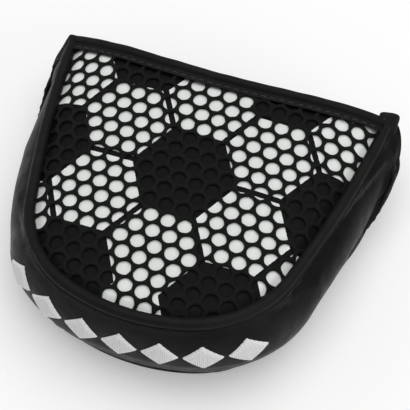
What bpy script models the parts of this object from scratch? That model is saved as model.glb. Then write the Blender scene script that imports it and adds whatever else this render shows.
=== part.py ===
"""Mallet putter head cover: padded D-shaped pouch with a magnetic closing flap.

The cover lies on its underside.  +X is right, +Y is towards the straight edge where the putter
head goes in, +Z is up, and the origin is under the middle of the bounding box.

Every soft layer is a grid that a formula places on one of five surfaces (top, wall, underside,
face, tongue), with Solidify for its thickness.  A layer's depth is measured inwards from the
outer surface, so that a change of one thickness moves every layer behind it.
"""

import bmesh
import bpy
import numpy as np

# ------------------------------------------------------------------ driving dimensions (metres)

# Outline of the top panel, measured on the centre line of the piping
PANEL_WIDTH = 0.1110
PANEL_LENGTH = 0.0907
FRONT_RADIUS = 0.064
FRONT_SWEEP = 16.0
CORNER_RADIUS = 0.035
CORNER_SWEEP = 58.0
SIDE_RADIUS = 0.400
SIDE_SWEEP = 9.2

# Heights
COVER_HEIGHT = 0.0340
CROWN_DROP = 0.0068
HEM_BOW = 0.0040
HEM_SETBACK = 0.0015
WALL_DROP = 0.0015
LOWER_SEAM_HEIGHT = 0.0020
UNDERSIDE_EDGE_LIFT = 0.0016
UNDERSIDE_EDGE_WIDTH = 0.007

# Side wall
WALL_BULGE_SIDE = 0.0066
WALL_BULGE_FRONT = 0.0042
WALL_BULGE_MOUTH = 0.0036
WALL_SPLAY = 0.0020
MOUTH_TOP = 0.0040
MOUTH_RUN = 0.042
MOUTH_CURVE = 1.5

# Layers, outermost first
NET_THICKNESS = 0.0010
PRINT_THICKNESS = 0.0005
TOP_FOAM_THICKNESS = 0.0022
LINING_THICKNESS = 0.0007
LEATHER_THICKNESS = 0.0008
WALL_FOAM_THICKNESS = 0.0016
BASE_FOAM_THICKNESS = 0.0014
FLAP_CORE_THICKNESS = 0.0010
BINDING_THICKNESS = 0.0005

# Trim
PIPING_RADIUS = 0.0019
PIPING_SKIN = 0.0006
PIPING_SINK = 0.0006
HEM_WIDTH = 0.0034
END_BINDING_WIDTH = 0.0046
FLAP_BINDING_WIDTH = 0.0040

# Closing flap
FLAP_WIDTH = 0.080
TONGUE_TIP_WIDTH = 0.062
TONGUE_CORNER_RADIUS = 0.014
TONGUE_OVERLAP = 0.018
FACE_SETBACK = 0.0040
HINGE_CLEARANCE = 0.0006
ANCHOR_WIDTH = 0.066

# Magnets
MAGNET_RADIUS = 0.0060
MAGNET_THICKNESS = 0.0008
MAGNET_SPACING = 0.040

# Embroidered marks round the front of the wall
MARK_COUNT = 7
MARK_WIDTH = 0.0106
MARK_HEIGHT = 0.0092
MARK_THICKNESS = 0.0007
MARK_PITCH = 0.0116
MARK_SHIFT = -0.0006
MARK_CENTRE = 0.32

# Clearances
GAP = 0.0003
BASE_GAP = 0.0005
FOLD_GAP = 0.0007
SEAM_CLEARANCE = 0.0004
END_CLEARANCE = 0.0005 + LEATHER_THICKNESS / 2
LIFT_RAMP = 0.014

# ------------------------------------------------------------------------------ derived sizes

TOP_STACK = NET_THICKNESS + PRINT_THICKNESS + TOP_FOAM_THICKNESS + LINING_THICKNESS + 3 * GAP
WALL_STACK = LEATHER_THICKNESS + WALL_FOAM_THICKNESS + LINING_THICKNESS + 2 * GAP
BASE_STACK = LEATHER_THICKNESS + BASE_FOAM_THICKNESS + LINING_THICKNESS + 2 * BASE_GAP
FLAP_STACK = LEATHER_THICKNESS + FLAP_CORE_THICKNESS + LINING_THICKNESS + 2 * GAP

BINDING_REACH = FOLD_GAP + BINDING_THICKNESS
TONGUE_BOTTOM = BINDING_REACH
TONGUE_TOP = TONGUE_BOTTOM + FLAP_STACK
BASE_LIFT = TONGUE_TOP + 2 * BINDING_REACH + SEAM_CLEARANCE
RIM_OFFSET = PIPING_RADIUS + GAP

FRONT_EXTENT = PANEL_LENGTH + RIM_OFFSET + WALL_BULGE_FRONT + WALL_SPLAY / 2 + GAP + MARK_THICKNESS
HINGE_RADIUS = FLAP_STACK / 2 + BINDING_REACH + HINGE_CLEARANCE
BACK_EXTENT = max(FACE_SETBACK + BINDING_REACH, MOUTH_TOP + BINDING_REACH)
HEM_Y = (FRONT_EXTENT - BACK_EXTENT) / 2
FACE_BACK_Y = HEM_Y + FACE_SETBACK
FACE_Y = FACE_BACK_Y - FLAP_STACK / 2
PANEL_TOP = COVER_HEIGHT - PIPING_RADIUS + PIPING_SINK

HALF_FLAP = FLAP_WIDTH / 2
HEM_BOTTOM = PANEL_TOP - CROWN_DROP * (FLAP_WIDTH / PANEL_WIDTH) ** 4 - TOP_STACK - BINDING_REACH
FACE_HINGE_Z = HEM_BOTTOM - BINDING_REACH - GAP
TONGUE_HINGE_Z = (TONGUE_BOTTOM + TONGUE_TOP) / 2
UNDERSIDE_HEM_Y = HEM_Y + MOUTH_TOP - MOUTH_RUN
TONGUE_TIP_Y = UNDERSIDE_HEM_Y - TONGUE_OVERLAP
MAGNET_Y = UNDERSIDE_HEM_Y - TONGUE_OVERLAP / 2

# Grid divisions of the layers
TOP_COLUMNS = 12
TOP_ROWS = 10
HEM_COLUMNS = 20
UNDERSIDE_HEM_COLUMNS = 12
WALL_COLUMNS = 60
WALL_ROWS = 10
UNDERSIDE_COLUMNS = 12
UNDERSIDE_ROWS = 24
MARK_DIVISIONS = 5
FLAP_COLUMNS = 10
ANCHOR_ROWS = 2
FACE_ROWS = 3
TONGUE_ROWS = 12
TONGUE_TIP_POINTS = 6
PIPING_POINTS = 40
ROUND_SEGMENTS = 24
OUTLINE_POINTS = 400
SEAM_POINTS = 241
SHARP_ANGLE = np.radians(40)
COLLECTION_NAME = "putter_head_cover"


# ------------------------------------------------------------------------- outline and surfaces

def smooth_step(t):
    """0 below 0, 1 above 1, and 3t^2 - 2t^3 between."""
    t = np.clip(t, 0.0, 1.0)
    return t * t * (3 - 2 * t)


def right_outline(count=OUTLINE_POINTS):
    """Right half of the piping line: three tangent arcs from the front centre to past the hem.

    A point at heading h on an arc of radius r moves by r (sin h, -cos h); the chain is then
    scaled to the panel's own half width and length.
    """
    headings = [np.zeros(1)]
    radii = [np.full(1, FRONT_RADIUS)]
    start = 0.0
    sweeps = ((FRONT_RADIUS, FRONT_SWEEP), (CORNER_RADIUS, CORNER_SWEEP), (SIDE_RADIUS, SIDE_SWEEP))
    for radius, sweep in sweeps:
        turn = np.linspace(start, start + sweep, count)
        headings.append(turn[1:])
        radii.append(np.full(count - 1, radius))
        start += sweep
    heading = np.radians(np.concatenate(headings))
    step = np.concatenate(radii)[1:] * np.diff(heading)
    middle = (heading[1:] + heading[:-1]) / 2
    x = np.concatenate([[0.0], np.cumsum(step * np.cos(middle))])
    y = np.concatenate([[0.0], np.cumsum(step * np.sin(middle))])
    x *= PANEL_WIDTH / 2 / x[-1]
    y *= PANEL_LENGTH / y[-1]
    past_hem = 2 * MOUTH_TOP
    x = np.append(x, x[-1] + past_hem * (x[-1] - x[-2]) / (y[-1] - y[-2]))
    y = np.append(y, y[-1] + past_hem)
    return x, y + HEM_Y - PANEL_LENGTH


OUTLINE_X, OUTLINE_Y = right_outline()
OUTLINE_S = np.concatenate([[0.0], np.cumsum(np.hypot(np.diff(OUTLINE_X), np.diff(OUTLINE_Y)))])
OUTLINE_TX = np.gradient(OUTLINE_X, OUTLINE_S)
OUTLINE_TY = np.gradient(OUTLINE_Y, OUTLINE_S)


def rim(s, offset=0.0):
    """Point at arc length s from the front centre (right positive), moved outwards by offset."""
    side = np.where(s < 0, -1.0, 1.0)
    a = np.abs(s)
    tangent_x = np.interp(a, OUTLINE_S, OUTLINE_TX)
    tangent_y = np.interp(a, OUTLINE_S, OUTLINE_TY)
    length = np.hypot(tangent_x, tangent_y)
    x = np.interp(a, OUTLINE_S, OUTLINE_X) + offset * tangent_y / length
    y = np.interp(a, OUTLINE_S, OUTLINE_Y) - offset * tangent_x / length
    return side * x, y


def arc_at(y):
    """Arc length at which the right half of the outline passes y."""
    return np.interp(y, OUTLINE_Y, OUTLINE_S)


CORNER_ARC = np.interp(1.0, OUTLINE_TY / OUTLINE_TX, OUTLINE_S)


def hem_y(x):
    """Straight edge of the top panel, bowed forwards in its middle."""
    return HEM_Y - HEM_SETBACK + HEM_BOW * (2 * x / PANEL_WIDTH) ** 2


def top_z(x):
    """Top surface: flat along the middle and falling away to both sides."""
    return PANEL_TOP - CROWN_DROP * (2 * x / PANEL_WIDTH) ** 4


def top_surface(x, y, depth):
    """Point under (x, y) on the top, moved inwards along the surface normal."""
    slope = -8 * CROWN_DROP / PANEL_WIDTH * (2 * x / PANEL_WIDTH) ** 3
    length = np.sqrt(1 + slope ** 2)
    return x + depth * slope / length, y, top_z(x) - depth / length


def ramp_share(y):
    """0 in front of the ramp over the tongue's tip, 1 behind it."""
    return np.clip((y - TONGUE_TIP_Y + LIFT_RAMP + BINDING_REACH) / LIFT_RAMP, 0.0, 1.0)


def base_lift(y):
    """How far the underside rises to make room for the tongue."""
    return BASE_LIFT * smooth_step(ramp_share(y))


def underside_surface(x, y, depth):
    """Underside: flat on the ground, lifted at its sewn edge and over the tongue.

    The ramp 3t^2 - 2t^3 has slope 6t(1 - t), and the depth is measured along its normal.
    """
    distance = np.hypot(x[..., None] - RIM_X, y[..., None] - RIM_Y).min(-1)
    edge = UNDERSIDE_EDGE_LIFT * (1 - smooth_step(distance / UNDERSIDE_EDGE_WIDTH))
    share = ramp_share(y)
    slope = 6 * share * (1 - share) * BASE_LIFT / LIFT_RAMP
    length = np.sqrt(1 + slope ** 2)
    return x, y - depth * slope / length, base_lift(y) + edge + depth / length


SEAM_ARC = np.linspace(-OUTLINE_S[-1], OUTLINE_S[-1], SEAM_POINTS)
RIM_X, RIM_Y = rim(SEAM_ARC, RIM_OFFSET + WALL_SPLAY)


def wall_surface(s, v, depth):
    """Side wall: a circular bow between the upper seam (v = 0) and the lower seam (v = 1).

    The bow's height h and bulge b give its radius r = (h^2/4 + b^2) / 2b.
    """
    x, y = rim(s)
    upper = top_z(x) - WALL_DROP
    lower = LOWER_SEAM_HEIGHT + base_lift(y)
    height = upper - lower
    share = 2 * np.abs(s) / arc_at(HEM_Y)
    bulge = (WALL_BULGE_FRONT + (WALL_BULGE_SIDE - WALL_BULGE_FRONT) * smooth_step(share)
             + (WALL_BULGE_MOUTH - WALL_BULGE_SIDE) * smooth_step(share - 1))
    radius = (height ** 2 / 4 + bulge ** 2) / (2 * bulge)
    half_angle = np.arcsin(height / 2 / radius)
    angle = half_angle * (1 - 2 * v)
    lower_share = (1 - np.sin(angle) / np.sin(half_angle)) / 2
    bow = radius * (np.cos(angle) - np.cos(half_angle))
    offset = RIM_OFFSET + WALL_SPLAY * lower_share + bow - depth * np.cos(angle)
    z = (upper + lower) / 2 + (radius - depth) * np.sin(angle)
    x, y = rim(s, offset)
    return x, y, z


def mouth_arc(v):
    """Arc length of the wall's end, which runs forwards as it goes down."""
    return arc_at(HEM_Y + MOUTH_TOP - MOUTH_RUN * v ** MOUTH_CURVE)


# --------------------------------------------------------------------------------- mesh helpers

def new_object(name, data, material):
    """Put a new object with one material in the cover's collection."""
    obj = bpy.data.objects.new(name, data)
    PARTS.objects.link(obj)
    data.materials.append(material)
    return obj


def grid(columns, rows, place):
    """Grid primitive whose vertices place(u, v) moves; u and v run from 0 to 1."""
    mesh = bpy.data.meshes.new("sheet")
    work = bmesh.new()
    bmesh.ops.create_grid(work, x_segments=columns, y_segments=rows, size=0.5)
    work.verts.ensure_lookup_table()
    flat = np.array([vert.co for vert in work.verts])
    placed = np.stack(np.broadcast_arrays(*place(flat[:, 0] + 0.5, flat[:, 1] + 0.5)), axis=1)
    for vert, point in zip(work.verts, placed):
        vert.co = point
    work.to_mesh(mesh)
    work.free()
    return mesh


def sheet(name, columns, rows, place, thickness, material, inwards=-1.0):
    """Closed layer: a placed grid with Solidify on its inner side."""
    mesh = grid(columns, rows, place)
    obj = new_object(name, mesh, material)
    solid = obj.modifiers.new("thickness", "SOLIDIFY")
    solid.thickness = thickness
    solid.offset = inwards
    solid.use_even_offset = True
    mesh.shade_smooth()
    mesh.set_sharp_from_angle(angle=SHARP_ANGLE)
    return obj


def d_patch(arc_end, straight_y, offset, setback):
    """Four-sided patch that fills a D: front, two sides and the straight edge (Coons patch)."""
    def place(u, v):
        corner = CORNER_ARC
        front = rim(corner * (2 * u - 1), offset)
        side_arc = corner + (arc_end - corner) * v
        right = rim(side_arc, offset)
        left = rim(-side_arc, offset)
        end_x, end_y = rim(np.array(arc_end), offset)
        hem_x = end_x * (2 * u - 1)
        hem = hem_x, straight_y(hem_x) - setback
        right = right[0], right[1] + v * (straight_y(end_x) - setback - end_y)
        left = left[0], right[1]
        front_right = rim(np.array(corner), offset)
        result = []
        for axis in range(2):
            corner_right = front_right[axis]
            corner_left = -corner_right if axis == 0 else corner_right
            hem_right = (end_x, straight_y(end_x) - setback)[axis]
            hem_left = -hem_right if axis == 0 else hem_right
            ruled = (1 - v) * front[axis] + v * hem[axis] + (1 - u) * left[axis] + u * right[axis]
            corners = ((1 - u) * (1 - v) * corner_left + u * (1 - v) * corner_right
                       + (1 - u) * v * hem_left + u * v * hem_right)
            result.append(ruled - corners)
        return result[0], result[1]
    return place


def binding(name, rail, columns, width, stack, material):
    """Folded tape round an edge.  rail(t) gives edge point, outward tangent and surface normal."""
    section = np.array([
        (-width, FOLD_GAP), (-width / 2, FOLD_GAP), (0.0, FOLD_GAP), (FOLD_GAP, 0.0),
        (FOLD_GAP, -stack / 2), (FOLD_GAP, -stack), (0.0, -stack - FOLD_GAP),
        (-width / 2, -stack - FOLD_GAP), (-width, -stack - FOLD_GAP)])
    steps = np.linspace(0.0, 1.0, len(section))

    def place(u, v):
        point, tangent, normal = rail(u)
        along = np.interp(v, steps, section[:, 0])[:, None]
        above = np.interp(v, steps, section[:, 1])[:, None]
        return (point + along * tangent + above * normal).T
    return sheet(name, columns, len(section) - 1, place, BINDING_THICKNESS, material, 1.0)


def tube(name, radius, arc_end, material, skin=0.0):
    """Round strip along the piping line; with a skin thickness it is hollow."""
    curve = bpy.data.curves.new(name, "CURVE")
    curve.dimensions = "3D"
    curve.bevel_depth = radius
    curve.bevel_resolution = 2
    curve.use_fill_caps = skin == 0.0
    spline = curve.splines.new("POLY")
    spline.points.add(PIPING_POINTS - 1)
    s = np.linspace(-arc_end, arc_end, PIPING_POINTS)
    x, y = rim(s)
    z = top_z(x) - PIPING_SINK
    spline.points.foreach_set("co", np.stack([x, y, z, np.ones(PIPING_POINTS)], axis=1).ravel())
    obj = new_object(name, curve, material)
    if skin > 0:
        solid = obj.modifiers.new("skin", "SOLIDIFY")
        solid.thickness = skin
        solid.offset = -1.0
    return obj


def disc(name, radius, thickness, location, material):
    """Flat round magnet lying on its face."""
    mesh = bpy.data.meshes.new(name)
    work = bmesh.new()
    bmesh.ops.create_cone(work, cap_ends=True, segments=ROUND_SEGMENTS, radius1=radius,
                          radius2=radius, depth=thickness)
    work.to_mesh(mesh)
    work.free()
    obj = new_object(name, mesh, material)
    obj.location = location
    mesh.shade_smooth()
    mesh.set_sharp_from_angle(angle=SHARP_ANGLE)
    return obj


def cut_round_holes(obj, centres, radius, height):
    """Cut a round hole through a layer at each centre."""
    for index, centre in enumerate(centres):
        mesh = bpy.data.meshes.new("hole_cutter")
        work = bmesh.new()
        bmesh.ops.create_cone(work, cap_ends=True, segments=ROUND_SEGMENTS, radius1=radius,
                              radius2=radius, depth=height)
        work.to_mesh(mesh)
        work.free()
        cutter = bpy.data.objects.new(f"{obj.name}_cutter_{index}", mesh)
        CUTTERS.objects.link(cutter)
        cutter.location = centre
        cutter.hide_render = True
        cutter.display_type = "WIRE"
        hole = obj.modifiers.new("magnet hole", "BOOLEAN")
        hole.object = cutter
        hole.operation = "DIFFERENCE"


def hang(objects, pivot):
    """Parent objects to a pivot empty without moving them."""
    for obj in objects:
        obj.parent = pivot
        obj.location = obj.location - pivot.matrix_world.translation


# ------------------------------------------------------------------------------------ materials

def make_material(name, colour, roughness, metallic=0.0):
    """Principled material with a plain colour."""
    material = bpy.data.materials.new(name)
    material.use_nodes = True
    shader = material.node_tree.nodes["Principled BSDF"]
    shader.inputs["Base Color"].default_value = (*colour, 1.0)
    shader.inputs["Roughness"].default_value = roughness
    shader.inputs["Metallic"].default_value = metallic
    return material


# ------------------------------------------------------------------------------------ sub-parts

def top_layer(name, depth, thickness, inset, material):
    """One layer of the top panel."""
    outline = d_patch(arc_at(HEM_Y), hem_y, -inset, GAP)

    def place(u, v):
        x, y = outline(u, v)
        return top_surface(x, y, depth)
    sheet(name, TOP_COLUMNS, TOP_ROWS, place, thickness, material, -1.0)


def make_top_panel(materials):
    """Net, printed fabric, foam and lining, from the outside in."""
    inset = RIM_OFFSET
    depth = 0.0
    layers = (("top_net", NET_THICKNESS, "net"), ("top_print_panel", PRINT_THICKNESS, "print"),
              ("top_foam", TOP_FOAM_THICKNESS, "foam"), ("top_lining", LINING_THICKNESS, "lining"))
    for name, thickness, material in layers:
        top_layer(name, depth, thickness, inset, materials[material])
        depth += thickness + GAP


def make_top_hem(material):
    """Folded strip along the straight edge of the top panel."""
    reach = PANEL_WIDTH / 2 - RIM_OFFSET - GAP

    def rail(u):
        x = reach * (2 * u - 1)
        px, py, pz = top_surface(x, hem_y(x), 0.0)
        slope = -8 * CROWN_DROP / PANEL_WIDTH * (2 * x / PANEL_WIDTH) ** 3
        normal = np.stack([-slope, 0 * x, 1 + 0 * x], axis=1)
        normal /= np.linalg.norm(normal, axis=1, keepdims=True)
        tangent = np.tile([0.0, 1.0, 0.0], (len(x), 1))
        return np.stack([px, py, pz], axis=1), tangent, normal
    binding("top_hem", rail, HEM_COLUMNS, HEM_WIDTH, TOP_STACK, material)


def make_piping(materials):
    """Leather-covered cord round the top seam."""
    arc_end = float(arc_at(HEM_Y))
    tube("piping_cover", PIPING_RADIUS, arc_end, materials["piping"], PIPING_SKIN)
    tube("piping_cord", PIPING_RADIUS - PIPING_SKIN - GAP, arc_end, materials["cord"])


def wall_layer(name, depth, thickness, material):
    """One layer of the side wall, from mouth to mouth."""
    def place(u, v):
        return wall_surface((2 * u - 1) * (mouth_arc(v) - END_CLEARANCE), v, depth)
    sheet(name, WALL_COLUMNS, WALL_ROWS, place, thickness, material, 1.0)


def make_wall(materials):
    """Leather, foam and lining of the side wall, and the tape round its two ends."""
    depth = 0.0
    layers = (("wall_leather", LEATHER_THICKNESS, "leather"),
              ("wall_foam", WALL_FOAM_THICKNESS, "foam"),
              ("wall_lining", LINING_THICKNESS, "lining"))
    for name, thickness, material in layers:
        wall_layer(name, depth, thickness, materials[material])
        depth += thickness + GAP
    for side, name in ((-1, "wall_end_binding_left"), (1, "wall_end_binding_right")):
        make_end_binding(name, side, materials["binding"])


def make_end_binding(name, side, material):
    """Tape round one slanting end of the wall."""
    def rail(u):
        s = side * mouth_arc(u)
        step = 0.001
        here = np.stack(wall_surface(s, u, 0.0), axis=1)
        inside = np.stack(wall_surface(s - side * step, u, 0.0), axis=1)
        deeper = np.stack(wall_surface(s, u, step), axis=1)
        tangent = (here - inside) / np.linalg.norm(here - inside, axis=1, keepdims=True)
        normal = (here - deeper) / np.linalg.norm(here - deeper, axis=1, keepdims=True)
        return here, tangent, normal

    def mirrored(u):
        return rail(u if side > 0 else 1 - u)
    binding(name, mirrored, WALL_ROWS, END_BINDING_WIDTH, WALL_STACK, material)


def magnet_places(z):
    """Centres of the left and the right magnet."""
    return [(side * MAGNET_SPACING / 2, MAGNET_Y, z) for side in (-1, 1)]


def make_underside(materials):
    """Leather, foam and lining of the underside panel, its hem and its two magnets."""
    depth = 0.0
    arc_end = arc_at(UNDERSIDE_HEM_Y)
    insets = {"underside_leather": LEATHER_THICKNESS, "underside_foam": LEATHER_THICKNESS
              + WALL_FOAM_THICKNESS, "underside_lining": WALL_STACK}
    layers = (("underside_leather", LEATHER_THICKNESS, "leather"),
              ("underside_foam", BASE_FOAM_THICKNESS, "foam"),
              ("underside_lining", LINING_THICKNESS, "lining"))
    for name, thickness, material in layers:
        outline = d_patch(arc_end, lambda x: UNDERSIDE_HEM_Y + 0 * x,
                          RIM_OFFSET + WALL_SPLAY - insets[name] - SEAM_CLEARANCE, GAP)

        def place(u, v, outline=outline, depth=depth):
            x, y = outline(u, v)
            return underside_surface(x, y, depth)
        layer = sheet(name, UNDERSIDE_COLUMNS, UNDERSIDE_ROWS, place, thickness,
                      materials[material], 1.0)
        if name == "underside_foam":
            middle = BASE_LIFT + depth + thickness / 2
            cut_round_holes(layer, magnet_places(middle), MAGNET_RADIUS + GAP, 4 * thickness)
        depth += thickness + BASE_GAP
    magnet_z = BASE_LIFT + LEATHER_THICKNESS + BASE_GAP + BASE_FOAM_THICKNESS / 2
    for side, place in zip(("left", "right"), magnet_places(magnet_z)):
        disc(f"underside_magnet_{side}", MAGNET_RADIUS, MAGNET_THICKNESS, place, materials["magnet"])
    make_underside_hem(materials["binding"])


def make_underside_hem(material):
    """Folded strip along the straight edge of the underside panel."""
    reach = float(rim(arc_at(UNDERSIDE_HEM_Y), 0.0)[0]) - WALL_STACK - END_BINDING_WIDTH / 2

    def rail(u):
        x = reach * (1 - 2 * u)
        point = np.stack([x, UNDERSIDE_HEM_Y + 0 * x, BASE_LIFT + 0 * x], axis=1)
        tangent = np.tile([0.0, 1.0, 0.0], (len(x), 1))
        normal = np.tile([0.0, 0.0, -1.0], (len(x), 1))
        return point, tangent, normal
    binding("underside_hem", rail, UNDERSIDE_HEM_COLUMNS, HEM_WIDTH, BASE_STACK, material)


def make_marks(material):
    """Row of diamonds in satin stitch round the front of the wall."""
    bow = COVER_HEIGHT - WALL_DROP - LOWER_SEAM_HEIGHT
    for index in range(MARK_COUNT):
        centre = MARK_SHIFT + MARK_PITCH * (index - (MARK_COUNT - 1) / 2)

        def place(u, v, centre=centre):
            across = (u - v) * MARK_WIDTH / 2
            down = MARK_CENTRE + (1 - u - v) * MARK_HEIGHT / 2 / bow
            return wall_surface(centre + across, down, -GAP - MARK_THICKNESS)
        sheet(f"wall_mark_{index + 1}", MARK_DIVISIONS, MARK_DIVISIONS, place, MARK_THICKNESS,
              material, -1.0)


def make_anchor(material):
    """Strip of leather between the top hem and the crease that the flap swings on."""
    lower = FACE_HINGE_Z + GAP

    def place(u, v):
        x = ANCHOR_WIDTH / 2 * (1 - 2 * u)
        upper = top_z(x) - TOP_STACK - BINDING_REACH - GAP
        return x, FACE_BACK_Y + 0 * x, lower + (upper - lower) * v
    sheet("flap_anchor", FLAP_COLUMNS, ANCHOR_ROWS, place, LEATHER_THICKNESS, material, -1.0)


def make_face(materials):
    """Upright part of the flap, which covers the putter's face."""
    top = FACE_HINGE_Z - GAP
    bottom = TONGUE_HINGE_Z + HINGE_RADIUS
    pivot = bpy.data.objects.new("face_pivot", None)
    pivot.location = (0.0, FACE_BACK_Y, FACE_HINGE_Z)
    PARTS.objects.link(pivot)
    back = FACE_BACK_Y
    made = []
    depth = 0.0
    layers = (("face_leather", LEATHER_THICKNESS, "leather"),
              ("face_padding", FLAP_CORE_THICKNESS, "foam"),
              ("face_lining", LINING_THICKNESS, "lining"))
    for name, thickness, material in layers:
        lower = TONGUE_BOTTOM if name == "face_leather" else bottom

        def place(u, v, depth=depth, lower=lower):
            return (HALF_FLAP * (1 - 2 * u), back - depth + 0 * u, lower + (top - lower) * v)
        made.append(sheet(name, FLAP_COLUMNS, FACE_ROWS, place, thickness, materials[material], -1.0))
        depth += thickness + GAP
    for side, name in ((-1, "face_binding_left"), (1, "face_binding_right")):
        def rail(u, side=side):
            along = u if side < 0 else 1 - u
            z = top + (bottom - top) * along
            point = np.stack([side * HALF_FLAP + 0 * z, back + 0 * z, z], axis=1)
            tangent = np.tile([float(side), 0.0, 0.0], (len(z), 1))
            normal = np.tile([0.0, 1.0, 0.0], (len(z), 1))
            return point, tangent, normal
        made.append(binding(name, rail, FACE_ROWS, FLAP_BINDING_WIDTH, FLAP_STACK, materials["binding"]))
    bpy.context.view_layer.update()
    hang(made, pivot)


def tongue_half_width(y):
    """Half width of the tongue: a taper with round corners at the tip."""
    start = FACE_Y - HINGE_RADIUS
    share = (start - y) / (start - TONGUE_TIP_Y)
    straight = HALF_FLAP + (TONGUE_TIP_WIDTH / 2 - HALF_FLAP) * share
    reach = np.clip(1 - (y - TONGUE_TIP_Y) / TONGUE_CORNER_RADIUS, 0.0, 1.0)
    return straight - TONGUE_CORNER_RADIUS * (1 - np.sqrt(1 - reach ** 2))


def tongue_y(v):
    """Rows of the tongue, closer together round its tip corners."""
    start = FACE_Y - HINGE_RADIUS
    return TONGUE_TIP_Y + (start - TONGUE_TIP_Y) * (1 - np.cos(v * np.pi / 2))


def make_tongue(materials):
    """Part of the flap that folds under and holds on by its magnets."""
    pivot = bpy.data.objects.new("tongue_pivot", None)
    pivot.location = (0.0, FACE_Y, TONGUE_HINGE_Z)
    PARTS.objects.link(pivot)
    made = []
    depth = 0.0
    layers = (("tongue_leather", LEATHER_THICKNESS, "leather"),
              ("tongue_stiffener", FLAP_CORE_THICKNESS, "stiffener"),
              ("tongue_lining", LINING_THICKNESS, "lining"))
    for name, thickness, material in layers:
        def place(u, v, depth=depth):
            y = tongue_y(v)
            return tongue_half_width(y) * (2 * u - 1), y, TONGUE_BOTTOM + depth + 0 * u
        layer = sheet(name, FLAP_COLUMNS, TONGUE_ROWS, place, thickness, materials[material], 1.0)
        made.append(layer)
        if name == "tongue_stiffener":
            middle = TONGUE_BOTTOM + depth + thickness / 2
            cut_round_holes(layer, magnet_places(middle), MAGNET_RADIUS + GAP, 4 * thickness)
            magnet_z = middle
        depth += thickness + GAP
    for name, place in zip(("tongue_magnet_left", "tongue_magnet_right"), magnet_places(magnet_z)):
        made.append(disc(name, MAGNET_RADIUS, MAGNET_THICKNESS, place, materials["magnet"]))
    made.append(make_tongue_binding(materials["binding"]))
    bpy.context.view_layer.update()
    hang(made, pivot)


def make_tongue_binding(material):
    """Tape down one side of the tongue, round the tip and up the other side."""
    rows = tongue_y(np.linspace(1.0, 0.0, TONGUE_ROWS + 1))
    half = tongue_half_width(rows)
    tip = np.linspace(-half[-1], half[-1], TONGUE_TIP_POINTS)[1:-1]
    path_x = np.concatenate([-half, tip, half[::-1]])
    path_y = np.concatenate([rows, np.full(len(tip), TONGUE_TIP_Y), rows[::-1]])
    length = np.concatenate([[0.0], np.cumsum(np.hypot(np.diff(path_x), np.diff(path_y)))])
    length /= length[-1]
    count = len(path_x) - 1
    steps = np.linspace(0.0, 1.0, count + 1)

    def rail(u):
        x = np.interp(u, steps, path_x)
        y = np.interp(u, steps, path_y)
        turn_x = np.interp(u, steps, np.gradient(path_x, length))
        turn_y = np.interp(u, steps, np.gradient(path_y, length))
        size = np.hypot(turn_x, turn_y)
        tangent = np.stack([turn_y / size, -turn_x / size, 0 * x], axis=1)
        point = np.stack([x, y, TONGUE_BOTTOM + 0 * x], axis=1)
        normal = np.tile([0.0, 0.0, -1.0], (len(x), 1))
        return point, tangent, normal
    return binding("tongue_binding", rail, count, FLAP_BINDING_WIDTH, FLAP_STACK, material)


# --------------------------------------------------------------------------------------- build

for old in list(bpy.data.objects):
    bpy.data.objects.remove(old, do_unlink=True)

PARTS = bpy.data.collections.new(COLLECTION_NAME)
CUTTERS = bpy.data.collections.new("cutters")
bpy.context.scene.collection.children.link(PARTS)
bpy.context.scene.collection.children.link(CUTTERS)


def main():
    """Build every piece of the cover."""
    materials = {
        "net": make_material("net", (0.018, 0.021, 0.018), 0.75),
        "print": make_material("print", (0.74, 0.77, 0.74), 0.60),
        "leather": make_material("leather", (0.012, 0.012, 0.012), 0.42),
        "piping": make_material("piping", (0.019, 0.021, 0.018), 0.60),
        "binding": make_material("binding", (0.020, 0.020, 0.020), 0.55),
        "lining": make_material("lining", (0.030, 0.030, 0.032), 0.95),
        "foam": make_material("foam", (0.30, 0.30, 0.30), 0.95),
        "stiffener": make_material("stiffener", (0.08, 0.08, 0.08), 0.70),
        "cord": make_material("cord", (0.60, 0.60, 0.58), 0.90),
        "magnet": make_material("magnet", (0.55, 0.55, 0.56), 0.30, 1.0),
        "thread": make_material("thread", (0.85, 0.86, 0.85), 0.45),
    }
    make_top_panel(materials)
    make_top_hem(materials["binding"])
    make_piping(materials)
    make_wall(materials)
    make_underside(materials)
    make_marks(materials["thread"])
    make_anchor(materials["leather"])
    make_face(materials)
    make_tongue(materials)


main()
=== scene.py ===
"""Finished looks of the padded putter head cover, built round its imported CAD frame.

The cover lies on its underside: +X is right, +Y is towards the straight edge where the putter
head goes in, +Z is up, and every length is in metres.  Soft pieces are surfaces worked out as
arrays on a grid; where a piece is stretched leather, a short cloth simulation settles the grid
before it gets its thickness.
"""
import functools

import bmesh
import bpy
import numpy as np
from bpy.props import FloatProperty, FloatVectorProperty, PointerProperty
from mathutils import Matrix, Vector


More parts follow.
